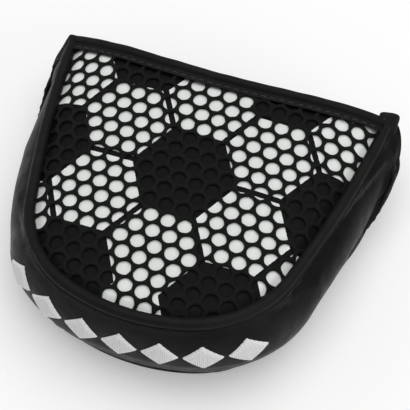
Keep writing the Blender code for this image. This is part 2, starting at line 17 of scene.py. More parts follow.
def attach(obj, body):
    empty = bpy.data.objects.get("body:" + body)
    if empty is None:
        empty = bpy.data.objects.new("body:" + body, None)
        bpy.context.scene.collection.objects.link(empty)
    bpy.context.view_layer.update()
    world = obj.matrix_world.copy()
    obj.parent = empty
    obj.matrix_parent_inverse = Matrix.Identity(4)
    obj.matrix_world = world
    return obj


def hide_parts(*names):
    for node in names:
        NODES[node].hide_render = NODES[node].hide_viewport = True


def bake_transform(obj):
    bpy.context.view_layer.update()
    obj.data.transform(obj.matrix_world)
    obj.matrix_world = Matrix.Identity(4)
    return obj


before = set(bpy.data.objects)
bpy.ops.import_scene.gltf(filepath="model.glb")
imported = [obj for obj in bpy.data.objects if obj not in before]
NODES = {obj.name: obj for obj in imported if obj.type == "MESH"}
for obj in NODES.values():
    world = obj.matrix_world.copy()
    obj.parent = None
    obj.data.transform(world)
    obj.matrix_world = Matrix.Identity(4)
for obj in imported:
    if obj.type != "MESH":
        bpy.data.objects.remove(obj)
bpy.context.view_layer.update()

bl_info = {
    "name": "Putter head cover",
    "version": (1, 0, 0),
    "blender": (4, 5, 0),
    "location": "3D View > Sidebar > Head cover",
    "description": "Builds the net, leather, piping, tapes and embroidery of a putter head cover",
    "category": "Object",
}

# ------------------------------------------------------- the frame's own measures, in metres

PANEL_WIDTH, PANEL_LENGTH = 0.1110, 0.0907
OUTLINE_ARCS = ((0.064, 16.0), (0.035, 58.0), (0.400, 9.2))
PANEL_TOP, CROWN_DROP = 0.0327, 0.0068
HEM_Y, HEM_BOW, HEM_SETBACK = 0.04695, 0.0040, 0.0015
WALL_DROP, LOWER_SEAM_HEIGHT = 0.0015, 0.0020
EDGE_LIFT, EDGE_WIDTH = 0.0016, 0.007
BULGE_SIDE, BULGE_FRONT, BULGE_MOUTH, WALL_SPLAY = 0.0066, 0.0042, 0.0036, 0.0020
MOUTH_TOP, MOUTH_RUN, MOUTH_CURVE = 0.0040, 0.042, 1.5
RIM_OFFSET, BASE_LIFT, LIFT_RAMP = 0.0022, 0.0071, 0.014
UNDERSIDE_HEM_Y, TONGUE_TIP_Y = 0.00895, -0.00905
TAPE_REACH, GAP = 0.0012, 0.0003
PIPING_RADIUS, PIPING_SINK = 0.0019, 0.0006
NET_DEPTH, PRINT_DEPTH, TOP_FOAM_DEPTH, LINING = 0.0010, 0.0005, 0.0022, 0.0007
LEATHER, WALL_FOAM, BASE_FOAM, FLAP_CORE = 0.0008, 0.0016, 0.0014, 0.0010
TOP_STACK = 0.0053
HALF_FLAP, TIP_HALF, TIP_CORNER, HALF_ANCHOR = 0.040, 0.031, 0.014, 0.033
FACE_BACK_Y, FACE_Y = 0.05095, 0.0494
FACE_HINGE_Z, TONGUE_HINGE_Z, TONGUE_BOTTOM = 0.022865, 0.00275, 0.0012
HINGE_RADIUS = 0.00335
MARK_COUNT, MARK_WIDTH, MARK_HEIGHT = 7, 0.0106, 0.0092
MARK_PITCH, MARK_SHIFT, MARK_CENTRE = 0.0116, -0.0006, 0.32
MIDDLE = np.array([0.0, 0.0, 0.016])
RIGHT, BACK, UP = np.eye(3)


# ---------------------------------------------------------------------- sizes a user can change

def a_length(name, description, metres):
    """Setting that is a length."""
    return FloatProperty(name=name, description=description, default=metres, unit="LENGTH")


def a_colour(name, description, *channels):
    """Setting that is a colour."""
    return FloatVectorProperty(name=name, description=description, default=channels,
                               subtype="COLOR")


def an_angle(name, description, degrees):
    """Setting that is an angle."""
    return FloatProperty(name=name, description=description, default=np.radians(degrees),
                         unit="ROTATION")


def a_number(name, description, value, high=1.0):
    """Setting that is a share or a strength."""
    return FloatProperty(name=name, description=description, default=value, min=0.0, max=high)


class CoverTopSettings(bpy.types.PropertyGroup):
    """Sizes and colours of the net and the printed cloth under it."""
    net_pitch: a_length("Net pitch", "Distance between neighbouring holes", 0.0057)
    net_hole: a_length("Net hole", "Width of one hole", 0.00455)
    net_turn: an_angle("Net turn", "Turn of the rows of holes on the panel", -4.17)
    net_colour: a_colour("Net colour", "Colour of the net's yarn", 0.0068, 0.0082, 0.0068)
    hexagon_side: a_length("Hexagon side", "Side of one printed hexagon", 0.0162)
    line_width: a_length("Line width", "Dark line between two light hexagons", 0.0019)
    light_print: a_colour("Light print", "Colour of the light hexagons", 0.93, 0.96, 0.93)
    dark_print: a_colour("Dark print", "Colour of the dark hexagons", 0.0035, 0.0038, 0.0035)
    seam_dip: a_length("Seam dip", "How deep the top sinks beside the piping", 0.0014)


class CoverLeatherSettings(bpy.types.PropertyGroup):
    """Look of the leather wall, flap and trim."""
    wall_colour: a_colour("Leather colour", "Colour of the leather", 0.0030, 0.0030, 0.0031)
    trim_colour: a_colour("Trim colour", "Colour of piping and tapes", 0.0068, 0.0078, 0.0066)
    roughness: a_number("Roughness", "Roughness of the leather's finish", 0.40)
    slack: a_number("Slack", "Spare leather in the wall, as a share of it", 0.004, 0.1)
    grain: a_length("Grain", "Width of one pebble of the leather's grain", 0.0007)


class CoverStitchSettings(bpy.types.PropertyGroup):
    """Sizes and colours of the sewing and of the embroidered marks."""
    pitch: a_length("Stitch pitch", "Distance from stitch to stitch", 0.0030)
    length: a_length("Stitch length", "Visible length of one stitch", 0.0022)
    radius: a_length("Thread radius", "Radius of the sewing thread", 0.00022)
    satin_pitch: a_length("Satin pitch", "Width of one thread of the marks", 0.00050)
    mark_rise: a_length("Mark rise", "Height of the embroidery", 0.0011)
    mark_colour: a_colour("Mark colour", "Colour of the embroidery", 0.96, 0.97, 0.96)


class CoverStageSettings(bpy.types.PropertyGroup):
    """Camera, floor and lights."""
    aim: FloatVectorProperty(name="Aim", description="Point that the camera looks at",
                             default=(0.00779, 0.00404, 0.020), subtype="XYZ", unit="LENGTH")
    distance: a_length("Distance", "Camera distance from that point", 0.3553)
    azimuth: an_angle("Azimuth", "Camera direction, right of the front", 22.53)
    elevation: an_angle("Elevation", "Camera height over the horizon", 61.14)
    roll: an_angle("Roll", "Turn of the camera", 3.74)
    lens: a_number("Lens", "Focal length on a 36 mm sensor", 97.17, 1000.0)
    floor_colour: a_colour("Floor colour", "Colour of the floor", 0.90, 0.90, 0.90)
    room_light: a_number("Room light", "Strength of the even light all round", 0.36)
    key_light: a_number("Key light", "Power of the large lamp overhead", 5.7, 1000.0)


def settings(group):
    """The scene's settings of one group: top, leather, stitch or stage."""
    return getattr(bpy.context.scene, "head_cover_" + group)


# ----------------------------------------------------------------------- outline and surfaces

def smooth_step(t):
    """0 below 0, 1 above 1, and 3t^2 - 2t^3 between."""
    t = np.clip(t, 0.0, 1.0)
    return t * t * (3 - 2 * t)


def unit(vectors):
    """Vectors scaled to a length of 1."""
    return vectors / np.linalg.norm(vectors, axis=-1, keepdims=True)


def soften(line, passes):
    """Round a line of points in place, its ends held, by averages with weights 1, 2 and 1."""
    for _ in range(passes):
        line[1:-1] = (line[:-2] + 2 * line[1:-1] + line[2:]) / 4


def placed(name, data):
    """New object that holds the data, in the scene."""
    obj = bpy.data.objects.new(name, data)
    bpy.context.scene.collection.objects.link(obj)
    return obj


def right_outline(count=400):
    """Right half of the piping line: tangent arcs, each moving by r (sin h, -cos h) at heading h.

    The chain is scaled to the panel's half width and length, and runs on straight past the hem.
    """
    headings, radii, start = [np.zeros(1)], [np.full(1, OUTLINE_ARCS[0][0])], 0.0
    for radius, sweep in OUTLINE_ARCS:
        headings.append(np.linspace(start, start + sweep, count)[1:])
        radii.append(np.full(count - 1, radius))
        start += sweep
    heading = np.radians(np.concatenate(headings))
    step = np.concatenate(radii)[1:] * np.diff(heading)
    middle = (heading[1:] + heading[:-1]) / 2
    x = np.concatenate([[0.0], np.cumsum(step * np.cos(middle))])
    y = np.concatenate([[0.0], np.cumsum(step * np.sin(middle))])
    x *= PANEL_WIDTH / 2 / x[-1]
    y *= PANEL_LENGTH / y[-1]
    x = np.append(x, x[-1] + 2 * MOUTH_TOP * (x[-1] - x[-2]) / (y[-1] - y[-2]))
    y = np.append(y, y[-1] + 2 * MOUTH_TOP)
    return x, y + HEM_Y - PANEL_LENGTH


OUT_X, OUT_Y = right_outline()
OUT_S = np.concatenate([[0.0], np.cumsum(np.hypot(np.diff(OUT_X), np.diff(OUT_Y)))])
OUT_TX, OUT_TY = np.gradient(OUT_X, OUT_S), np.gradient(OUT_Y, OUT_S)
CORNER_ARC = float(np.interp(1.0, OUT_TY / OUT_TX, OUT_S))


def rim(s, offset=0.0):
    """Point at arc length s from the front centre, right positive, moved outwards by offset."""
    side, a = np.where(s < 0, -1.0, 1.0), np.abs(s)
    tx, ty = np.interp(a, OUT_S, OUT_TX), np.interp(a, OUT_S, OUT_TY)
    length = np.hypot(tx, ty)
    return (side * (np.interp(a, OUT_S, OUT_X) + offset * ty / length),
            np.interp(a, OUT_S, OUT_Y) - offset * tx / length)


def arc_at(y):
    """Arc length at which the right half of the outline passes y."""
    return np.interp(y, OUT_Y, OUT_S)


HEM_ARC = float(arc_at(HEM_Y))
FULL_ARC = float(OUT_S[-1])


def hem_y(x):
    """Straight edge of the top panel, bowed forwards in its middle."""
    return HEM_Y - HEM_SETBACK + HEM_BOW * (2 * x / PANEL_WIDTH) ** 2


def top_z(x):
    """Top surface: flat along the middle and falling away to both sides."""
    return PANEL_TOP - CROWN_DROP * (2 * x / PANEL_WIDTH) ** 4


def top_slope(x):
    """Slope of the top across the cover, and the length along it of a step of 1 in x."""
    slope = -8 * CROWN_DROP / PANEL_WIDTH * (2 * x / PANEL_WIDTH) ** 3
    return slope, np.sqrt(1 + slope ** 2)


def between(grid, column, row):
    """Values of a grid at fractional columns and rows, by straight lines between its points."""
    rows, columns = grid.shape[:2]
    column, row = np.clip(column, 0, columns - 1), np.clip(row, 0, rows - 1)
    i, j = np.minimum(column.astype(int), columns - 2), np.minimum(row.astype(int), rows - 2)
    fx, fy = column - i, row - j
    if grid.ndim == 3:
        fx, fy = fx[..., None], fy[..., None]
    upper = grid[j, i] * (1 - fx) + grid[j, i + 1] * fx
    lower = grid[j + 1, i] * (1 - fx) + grid[j + 1, i + 1] * fx
    return upper * (1 - fy) + lower * fy


FIELD_STEP = 0.0005
FIELD_X = np.arange(-0.062, 0.0621, FIELD_STEP)
FIELD_Y = np.arange(-0.052, 0.0561, FIELD_STEP)


@functools.cache
def seam_field():
    """Distance from the piping line over the plan, positive inside the panel."""
    x, y = np.meshgrid(FIELD_X, FIELD_Y)
    line = rim(np.linspace(-FULL_ARC, FULL_ARC, 241))
    distance = np.hypot(x[..., None] - line[0], y[..., None] - line[1]).min(-1)
    inside = (np.abs(x) < np.interp(y, OUT_Y, OUT_X)) & (y > OUT_Y[0])
    return np.where(inside, distance, -distance)


def seam_distance(x, y):
    """Distance inwards from the piping line."""
    return between(seam_field(), (x - FIELD_X[0]) / FIELD_STEP, (y - FIELD_Y[0]) / FIELD_STEP)


def waves(x, y, z, length, seed):
    """Smooth uneven field: the sum of ten sine waves in fixed directions, scaled to about 1."""
    draw = np.random.default_rng(seed)
    total = 0.0
    for _ in range(10):
        direction = draw.normal(size=3)
        direction *= 2 * np.pi / length / draw.uniform(0.7, 1.5) / np.linalg.norm(direction)
        total = total + np.sin(direction[0] * x + direction[1] * y + direction[2] * z
                               + draw.uniform(0, 2 * np.pi))
    return total / 4


def top_dip(x, y):
    """How far the padded top sinks: a step down to the piping, and one under the hem tape."""
    seam = 1 - smooth_step((seam_distance(x, y) - 0.0014) / 0.0036)
    hem = 1 - smooth_step((hem_y(x) - y - 0.0030) / 0.0030)
    soft = 0.00018 * waves(x, y, 0.0, 0.019, 3)
    return settings("top").seam_dip * seam + 0.0010 * hem * (1 - seam) + soft * (1 - seam)


def top_point(x, y, depth):
    """Point under (x, y) on the padded top, moved inwards along the surface normal."""
    slope, length = top_slope(x)
    return np.stack([x + depth * slope / length, y, top_z(x) - top_dip(x, y) - depth / length], -1)


def ramp_share(y):
    """0 in front of the ramp over the tongue's tip, 1 behind it."""
    return np.clip((y - TONGUE_TIP_Y + LIFT_RAMP + TAPE_REACH) / LIFT_RAMP, 0.0, 1.0)


def base_lift(y):
    """How far the underside rises to make room for the tongue."""
    return BASE_LIFT * smooth_step(ramp_share(y))


def underside_point(x, y, depth):
    """Underside: flat on the ground, lifted at its sewn edge and over the tongue."""
    distance = seam_distance(x, y) + RIM_OFFSET + WALL_SPLAY
    edge = EDGE_LIFT * (1 - smooth_step(distance / EDGE_WIDTH))
    share = ramp_share(y)
    slope = 6 * share * (1 - share) * BASE_LIFT / LIFT_RAMP
    length = np.sqrt(1 + slope ** 2)
    return np.stack([x, y - depth * slope / length, base_lift(y) + edge + depth / length], -1)


TURN_SHARE, TURN_IN, TURN_UP, TURN_DOWN = 0.04, 0.0012, 0.0005, 0.0009
WALL_LEAN, LEAN_FROM = 0.0016, 0.004


def wall_point(s, v):
    """Side wall: a circular bow between the upper seam, v = 0, and the lower seam, v = 1.

    Height h and bulge b give the bow its radius (h^2/4 + b^2) / 2b.  Past either seam the
    leather turns in on a small arc, as a sewn edge does, and towards the mouth the wall leans
    to the right.
    """
    turn = np.maximum(-v, v - 1)
    turn_in, v = np.clip(turn, 0, None), np.clip(v, 0, 1)
    x, y = rim(s)
    upper, lower = top_z(x) - WALL_DROP, LOWER_SEAM_HEIGHT + base_lift(y)
    height, share = upper - lower, 2 * np.abs(s) / HEM_ARC
    bulge = (BULGE_FRONT + (BULGE_SIDE - BULGE_FRONT) * smooth_step(share)
             + (BULGE_MOUTH - BULGE_SIDE) * smooth_step(share - 1))
    radius = (height ** 2 / 4 + bulge ** 2) / (2 * bulge)
    half = np.arcsin(height / 2 / radius)
    angle = half * (1 - 2 * v)
    lower_share = (1 - np.sin(angle) / np.sin(half)) / 2
    offset = RIM_OFFSET + WALL_SPLAY * lower_share + radius * (np.cos(angle) - np.cos(half))
    z = (upper + lower) / 2 + radius * np.sin(angle)
    curl = turn_in / TURN_SHARE * np.pi / 2
    offset = offset - TURN_IN * (1 - np.cos(curl))
    z = z + np.where(v < 0.5, TURN_UP, -TURN_DOWN) * np.sin(curl)
    x, y = rim(s, offset)
    lean = WALL_LEAN * smooth_step((y - LEAN_FROM) / (HEM_Y - LEAN_FROM)) * np.sin(np.pi * v)
    return np.stack([x + lean, y, z], -1)


def mouth_arc(v):
    """Arc length of the wall's end, which runs forwards as it goes down."""
    return arc_at(HEM_Y + MOUTH_TOP - MOUTH_RUN * np.clip(v, 0, 1) ** MOUTH_CURVE)


class Surface:
    """Points on a grid of u, across, and v, down, with unit normals that face away from inside."""

    def __init__(self, points, inside=MIDDLE):
        self.points = points
        normal = np.cross(np.gradient(points, axis=1), np.gradient(points, axis=0))
        size = np.linalg.norm(normal, axis=-1, keepdims=True)
        normal = normal / np.maximum(size, 1e-12)
        side = np.sign(((points - inside) * normal).sum(-1).mean())
        self.normals = normal * side

    def at(self, u, v, height=0.0):
        """Points at (u, v), moved out along the normal by height."""
        rows, columns = self.points.shape[:2]
        place = (u * (columns - 1), v * (rows - 1))
        normal = unit(between(self.normals, *place))
        return between(self.points, *place) + np.broadcast_to(height, u.shape)[..., None] * normal

    def frame_at(self, u, v, along):
        """Points, the direction that a step `along` in (u, v) takes, and the normals."""
        here, step = self.at(u, v), 1e-3
        ahead, behind = (self.at(u + way * along[0], v + way * along[1]) for way in (step, -step))
        return here, unit(ahead - behind), self.at(u, v, 1.0) - here


def uv_grid(columns, rows, first=0.0, last=1.0):
    """Evenly spaced u from 0 to 1 across and v from first to last down."""
    return np.meshgrid(np.linspace(0, 1, columns + 1), np.linspace(first, last, rows + 1))


CLOTH = {"quality": 6, "mass": 0.3, "tension_stiffness": 12, "compression_stiffness": 12,
         "shear_stiffness": 8, "bending_stiffness": 1.2, "use_pressure": True}


def settle(points, held, pressure, slack, reach, frames=20):
    """Cloth simulation of a grid of leather that is held where it is sewn.

    The leather has some slack and a light pressure behind it; it is run ten times its size, and
    no point may end up further than reach from where it began.
    """
    scale, scene = 10.0, bpy.context.scene
    mesh = quad_mesh("settling", points.reshape(-1, 3) * scale, grid_quads(*points.shape[:2]))
    obj = placed("settling", mesh)
    group = obj.vertex_groups.new(name="sewn")
    group.add(np.flatnonzero(held.ravel()).tolist(), 1.0, "REPLACE")
    cloth = obj.modifiers.new("settle", "CLOTH")
    sewing = cloth.settings
    for key, value in CLOTH.items():
        setattr(sewing, key, value)
    sewing.vertex_group_mass = group.name
    sewing.uniform_pressure_force = pressure
    sewing.shrink_min = -slack
    sewing.effector_weights.gravity = 0.0
    cloth.collision_settings.use_collision = False
    cloth.point_cache.frame_start, cloth.point_cache.frame_end = 1, frames
    for step in range(1, frames + 1):
        scene.frame_set(step)
    done = obj.evaluated_get(bpy.context.evaluated_depsgraph_get()).data
    settled = np.empty(len(done.vertices) * 3, np.float32)
    done.vertices.foreach_get("co", settled)
    bpy.data.objects.remove(obj)
    scene.frame_set(1)
    move = settled.reshape(points.shape).astype(float) / scale - points
    size = np.linalg.norm(move, axis=-1, keepdims=True)
    return points + move * np.minimum(1.0, reach / np.maximum(size, 1e-9))


# --------------------------------------------------------------------------------------- meshes

def grid_quads(rows, columns, wrap=False):
    """Corner numbers of the quads of a grid; with wrap the last column joins the first."""
    number = np.arange(rows * columns).reshape(rows, columns)
    if wrap:
        number = np.concatenate([number, number[:, :1]], axis=1)
    return np.stack([number[:-1, :-1], number[:-1, 1:], number[1:, 1:], number[1:, :-1]],
                    -1).reshape(-1, 4)


def quad_mesh(name, points, quads, uv=None):
    """Mesh of quads, with uv given for each point in metres."""
    mesh = bpy.data.meshes.new(name)
    mesh.vertices.add(len(points))
    mesh.vertices.foreach_set("co", np.asarray(points, np.float32).ravel())
    mesh.loops.add(quads.size)
    mesh.loops.foreach_set("vertex_index", quads.ravel().astype(np.int32))
    mesh.polygons.add(len(quads))
    mesh.polygons.foreach_set("loop_start", np.arange(0, quads.size, 4, dtype=np.int32))
    if uv is not None:
        layer = mesh.uv_layers.new(name="UVMap")
        layer.data.foreach_set("uv", uv[quads.ravel()].astype(np.float32).ravel())
    mesh.update(calc_edges=True)
    return mesh


def outward(points, quads):
    """Quads turned so that the closed shape's volume, the sum of its tetrahedra, is positive."""
    a, b, c, d = (points[quads[:, k]] for k in range(4))
    volume = (np.cross(b, c) * a).sum() + (np.cross(c, d) * a).sum()
    return quads if volume > 0 else quads[:, ::-1]


def lengths(points):
    """UV in metres: mean running length across and down a grid of points."""
    across = np.linalg.norm(np.diff(points, axis=1), axis=-1).mean(0)
    down = np.linalg.norm(np.diff(points, axis=0), axis=-1).mean(1)
    return np.stack(np.meshgrid(np.concatenate([[0], np.cumsum(across)]),
                                np.concatenate([[0], np.cumsum(down)])), -1).reshape(-1, 2)


def shell(name, outer, inner):
    """Closed mesh between two grids of points: both faces and the four edges between them."""
    rows, columns = outer.shape[:2]
    count = rows * columns
    number = np.arange(count).reshape(rows, columns)
    border = np.concatenate([number[0, :-1], number[:-1, -1], number[-1, :0:-1], number[:0:-1, 0]])
    after = np.roll(border, -1)
    face = grid_quads(rows, columns)
    edge = np.stack([after, border, border + count, after + count], -1)
    quads = np.concatenate([face, face[:, ::-1] + count, edge])
    points = np.concatenate([outer.reshape(-1, 3), inner.reshape(-1, 3)])
    uv = np.tile(lengths(outer), (2, 1))
    return quad_mesh(name, points, outward(points, quads), uv)


def repeated(quads, copies, points):
    """Quads of several copies of a shape; each copy's points follow those of the one before."""
    return (quads + (np.arange(copies) * points)[:, None, None]).reshape(-1, 4)


def tube_quads(rows, columns):
    """Quads of a closed tube; those of each end meet along a middle line."""
    half = np.arange(columns // 2 - 1)
    cap = np.stack([half, half + 1, columns - 2 - half, columns - 1 - half], -1)
    body = grid_quads(rows, columns, wrap=True)
    return np.concatenate([body, cap[:, ::-1], cap + (rows - 1) * columns])


def tube_mesh(name, rings):
    """Closed mesh along rings of points."""
    points, quads = rings.reshape(-1, 3), tube_quads(*rings.shape[:2])
    return quad_mesh(name, points, outward(points, quads), lengths(rings))


# ------------------------------------------------------------------------------------ materials

def add(tree, kind, inputs=(), **options):
    """New shader node; inputs maps a socket's name or number to a value or to another socket."""
    node = tree.nodes.new("ShaderNode" + kind)
    for key, value in options.items():
        setattr(node, key, value)
    for key, value in dict(inputs).items():
        if isinstance(value, bpy.types.NodeSocket):
            tree.links.new(value, node.inputs[key])
        else:
            node.inputs[key].default_value = value
    return node


def calc(tree, operation, *values):
    """Output of a Math node on values or sockets."""
    return add(tree, "Math", dict(enumerate(values)), operation=operation).outputs[0]


def vector(tree, operation, *values):
    """Output of a Vector Math node on values or sockets."""
    node = add(tree, "VectorMath", dict(enumerate(values)), operation=operation)
    return node.outputs["Value" if operation == "LENGTH" else "Vector"]


def ramp(tree, factor, low, high):
    """Colour between two colours, by a factor."""
    node = add(tree, "Mix", data_type="RGBA")
    tree.links.new(factor, node.inputs[0])
    for socket, colour in ((node.inputs[6], low), (node.inputs[7], high)):
        if isinstance(colour, bpy.types.NodeSocket):
            tree.links.new(colour, socket)
        else:
            socket.default_value = (*colour, 1.0)
    return node.outputs[2]


def noise(tree, place, width, detail=3.0):
    """Noise whose features are about width metres across."""
    return add(tree, "TexNoise", {"Vector": place, "Scale": 1 / width, "Detail": detail}).outputs[0]


def bumped(tree, shader, layers):
    """Bump nodes in a chain, one for each (height socket, depth in metres)."""
    normal = None
    for height, depth in layers:
        inputs = {"Height": height, "Distance": depth, "Strength": 1.0}
        if normal is not None:
            inputs["Normal"] = normal
        normal = add(tree, "Bump", inputs).outputs[0]
    tree.links.new(normal, shader.inputs["Normal"])


def new_finish(name, roughness, specular=0.5, metallic=0.0, sheen=0.0):
    """Material with its shader; constant values stand on the shader's own sockets."""
    material = bpy.data.materials.new(name)
    material.use_nodes = True
    tree = material.node_tree
    shader = tree.nodes["Principled BSDF"]
    for key, value in (("Roughness", roughness), ("Specular IOR Level", specular),
                       ("Metallic", metallic), ("Sheen Weight", sheen), ("Sheen Roughness", 0.4)):
        shader.inputs[key].default_value = value
    place = add(tree, "TexCoord").outputs["Object"]
    return material, tree, shader, place


def shade_of(colour, factor):
    """A colour made lighter or darker."""
    return tuple(min(1.0, channel * factor) for channel in colour)


def tinted(tree, shader, factor, colour, low, high):
    """Base colour that goes by a factor from a darker to a lighter shade of one colour."""
    tree.links.new(ramp(tree, factor, shade_of(colour, low), shade_of(colour, high)),
                   shader.inputs["Base Color"])


def spread(tree, value, low=0.0, high=1.0, new_low=0.0, new_high=1.0):
    """A value stretched from one range to another."""
    inputs = {"Value": value, 1: low, 2: high, 3: new_low, 4: new_high}
    return add(tree, "MapRange", inputs).outputs[0]


def cells(tree, place, width, randomness, feature="F1"):
    """Distance from the middle of the nearest cell; cells are about width metres across."""
    inputs = {"Vector": place, "Scale": 1 / width, "Randomness": randomness}
    return add(tree, "TexVoronoi", inputs, feature=feature).outputs["Distance"]


@functools.cache
def leather_finish(trim=False):
    """Coated leather: fine pebbles, soft unevenness, and polish that varies from place to place."""
    look = settings("leather")
    name = "supple_trim_leather" if trim else "smooth_black_leather"
    material, tree, shader, place = new_finish(name, look.roughness, 0.12 if trim else 0.14)
    pebbles = cells(tree, place, look.grain, 1.0, "SMOOTH_F1")
    creases, broad = noise(tree, place, 0.0035, 4.0), noise(tree, place, 0.013, 2.0)
    tinted(tree, shader, spread(tree, broad, 0.35, 0.75),
           look.trim_colour if trim else look.wall_colour, 0.85, 1.35)
    dull = look.roughness + (0.12 if trim else 0.0)
    tree.links.new(spread(tree, creases, 0.3, 0.7, dull - 0.05, dull + 0.09),
                   shader.inputs["Roughness"])
    bumped(tree, shader, ((broad, 0.0006), (creases, 0.00012), (pebbles, 0.00006)))
    return material


@functools.cache
def yarn_finish():
    """Knitted yarn of the net: fine loops with loose fibres and a soft sheen."""
    material, tree, shader, place = new_finish("black_net_yarn", 0.74, 0.12, sheen=0.03)
    loops, fibres = cells(tree, place, 0.00042, 0.8), noise(tree, place, 0.00022, 6.0)
    tinted(tree, shader, spread(tree, fibres, 0.45, 0.72), settings("top").net_colour, 0.55, 2.6)
    bumped(tree, shader, ((loops, 0.00022), (fibres, 0.00012)))
    return material


def nearest_hexagon(tree, place, cell_x, cell_y):
    """Distance, across flats, from the nearest centre of two interleaved rectangular rows.

    The flats' distance of (x, y) is the larger of |y| and |x| cos 30 + |y| / 2.
    """
    found = []
    for share in (0.0, 0.5):
        moved = vector(tree, "ADD", place, (cell_x * share, cell_y * share, 0))
        wrapped = vector(tree, "WRAP", moved, (cell_x / 2, cell_y / 2, 1),
                         (-cell_x / 2, -cell_y / 2, -1))
        flat = add(tree, "SeparateXYZ", {0: vector(tree, "ABSOLUTE", wrapped)}).outputs
        slanted = calc(tree, "MULTIPLY_ADD", flat[0], np.cos(np.pi / 6),
                       calc(tree, "MULTIPLY", flat[1], 0.5))
        found.append(calc(tree, "MAXIMUM", flat[1], slanted))
    return calc(tree, "MINIMUM", *found)


PRINT_CENTRE_Y = 0.0069
PRINT_RAGGED = 0.00022


@functools.cache
def print_finish():
    """Cloth printed with hexagons: every third one dark, and dark lines round all of them.

    The two lowest light hexagons have no line between them at the front.
    """
    look = settings("top")
    side, half_line = look.hexagon_side, look.line_width / 2
    flat = side * np.sqrt(3) / 2
    material, tree, shader, place = new_finish("hexagon_print_cloth", 0.66, 0.12, sheen=0.02)
    moved = {"Vector": place, "Location": (0.0, -PRINT_CENTRE_Y, 0.0)}
    centred = add(tree, "Mapping", moved).outputs[0]
    wobble = spread(tree, noise(tree, place, 0.0006, 2.0), 0.0, 1.0, -PRINT_RAGGED, PRINT_RAGGED)
    any_cell, dark_cell = (nearest_hexagon(tree, centred, 3 * side, rows * flat) for rows in (2, 6))
    line = calc(tree, "GREATER_THAN", calc(tree, "ADD", any_cell, wobble), flat - half_line)
    x, y, _ = add(tree, "SeparateXYZ", {0: place}).outputs
    low = calc(tree, "LESS_THAN", y, PRINT_CENTRE_Y - 3 * flat + look.line_width)
    middle = calc(tree, "LESS_THAN", calc(tree, "ABSOLUTE", x), side / 2 - half_line / 2)
    closed = calc(tree, "SUBTRACT", 1.0, calc(tree, "MULTIPLY", low, middle))
    line = calc(tree, "MULTIPLY", line, closed)
    dark = calc(tree, "LESS_THAN", calc(tree, "ADD", dark_cell, wobble), flat + half_line)
    cloudy = noise(tree, place, 0.004, 2.0)
    light = ramp(tree, cloudy, shade_of(look.light_print, 0.90), shade_of(look.light_print, 1.06))
    ink = ramp(tree, cloudy, shade_of(look.dark_print, 0.7), shade_of(look.dark_print, 1.6))
    tree.links.new(ramp(tree, calc(tree, "MAXIMUM", line, dark), light, ink),
                   shader.inputs["Base Color"])
    bumped(tree, shader, ((cells(tree, place, 0.0004, 0.3), 0.00008), (cloudy, 0.0001)))
    return material


@functools.cache
def lining_finish():
    """Brushed fleece: short pile in soft tufts."""
    material, tree, shader, place = new_finish("grey_fleece_lining", 0.95, 0.15, sheen=0.5)
    tufts, pile = noise(tree, place, 0.0016, 5.0), noise(tree, place, 0.0004, 4.0)
    tree.links.new(ramp(tree, tufts, (0.014, 0.014, 0.015), (0.055, 0.055, 0.058)),
                   shader.inputs["Base Color"])
    bumped(tree, shader, ((tufts, 0.0005), (pile, 0.0002)))
    return material


@functools.cache
def plain_finish(name, dark, light, roughness, width, depth, metallic=0.0):
    """Hidden or small parts: a colour that varies over width, with a bump of that depth."""
    material, tree, shader, place = new_finish(name, roughness, metallic=metallic)
    uneven = noise(tree, place, width, 4.0)
    tree.links.new(ramp(tree, uneven, dark, light), shader.inputs["Base Color"])
    bumped(tree, shader, ((uneven, depth),))
    return material


FOAM = "open_cell_foam", (0.20, 0.20, 0.20), (0.42, 0.42, 0.41), 0.95, 0.0008, 0.0003
CORD = "twisted_cotton_cord", (0.42, 0.41, 0.38), (0.70, 0.69, 0.65), 0.9, 0.0009, 0.0002
STEEL = "plated_steel", (0.42, 0.42, 0.43), (0.62, 0.62, 0.63), 0.28, 0.0006, 0.00002, 1.0
BOARD = "pressed_fibre_board", (0.05, 0.05, 0.05), (0.11, 0.11, 0.10), 0.7, 0.0012, 0.0001
HIDDEN = {"piping_cord": CORD, "tongue_stiffener": BOARD, "underside_foam": FOAM, "magnet": STEEL}


@functools.cache
def tape_finish():
    """Ribbed binding tape: fine ribs along its width, read from the piece's own UV."""
    material, tree, shader, place = new_finish("ribbed_binding_tape", 0.58, 0.16, sheen=0.03)
    ribs = {"Vector": add(tree, "TexCoord").outputs["UV"], "Scale": 1 / 0.0019, "Distortion": 0.6,
            "Detail Scale": 2.0}
    soft = noise(tree, place, 0.004, 3.0)
    tinted(tree, shader, soft, settings("leather").trim_colour, 0.75, 1.45)
    bumped(tree, shader, ((soft, 0.0003), (add(tree, "TexWave", ribs).outputs[1], 0.00006)))
    return material


@functools.cache
def thread_finish(name, colour, roughness):
    """Twisted shiny thread: fine slanting strands, with painted shade in the valleys between them.
    """
    material, tree, shader, place = new_finish(name, roughness, 0.5, sheen=0.2)
    twist = {"Vector": place, "Scale": 1 / 0.0012, "Distortion": 2.5, "Detail": 3.0}
    strands = add(tree, "TexWave", twist, bands_direction="DIAGONAL").outputs[1]
    # The strand pattern also darkens the colour towards the valleys between strands: painted shade.
    tinted(tree, shader, strands, colour, 0.80, 1.05)
    bumped(tree, shader, ((strands, 0.00006),))
    return material


FINISHES = {"leather": leather_finish, "lining": lining_finish, "print": print_finish,
            "foam": lambda: plain_finish(*FOAM)}


# --------------------------------------------------------------------------------------- pieces

def put(mesh, body, slot, finish, *nodes, sharp=50, ride=True):
    """Make a mesh a smooth shaded piece on its body, standing for its CAD nodes; the slot is not
    used.
    """
    mesh.materials.clear()
    mesh.materials.append(finish)
    mesh.shade_smooth()
    mesh.set_sharp_from_angle(angle=np.radians(sharp))
    obj = placed(mesh.name, mesh)
    if ride:
        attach(obj, body)
    if nodes:
        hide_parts(*nodes)
    return obj


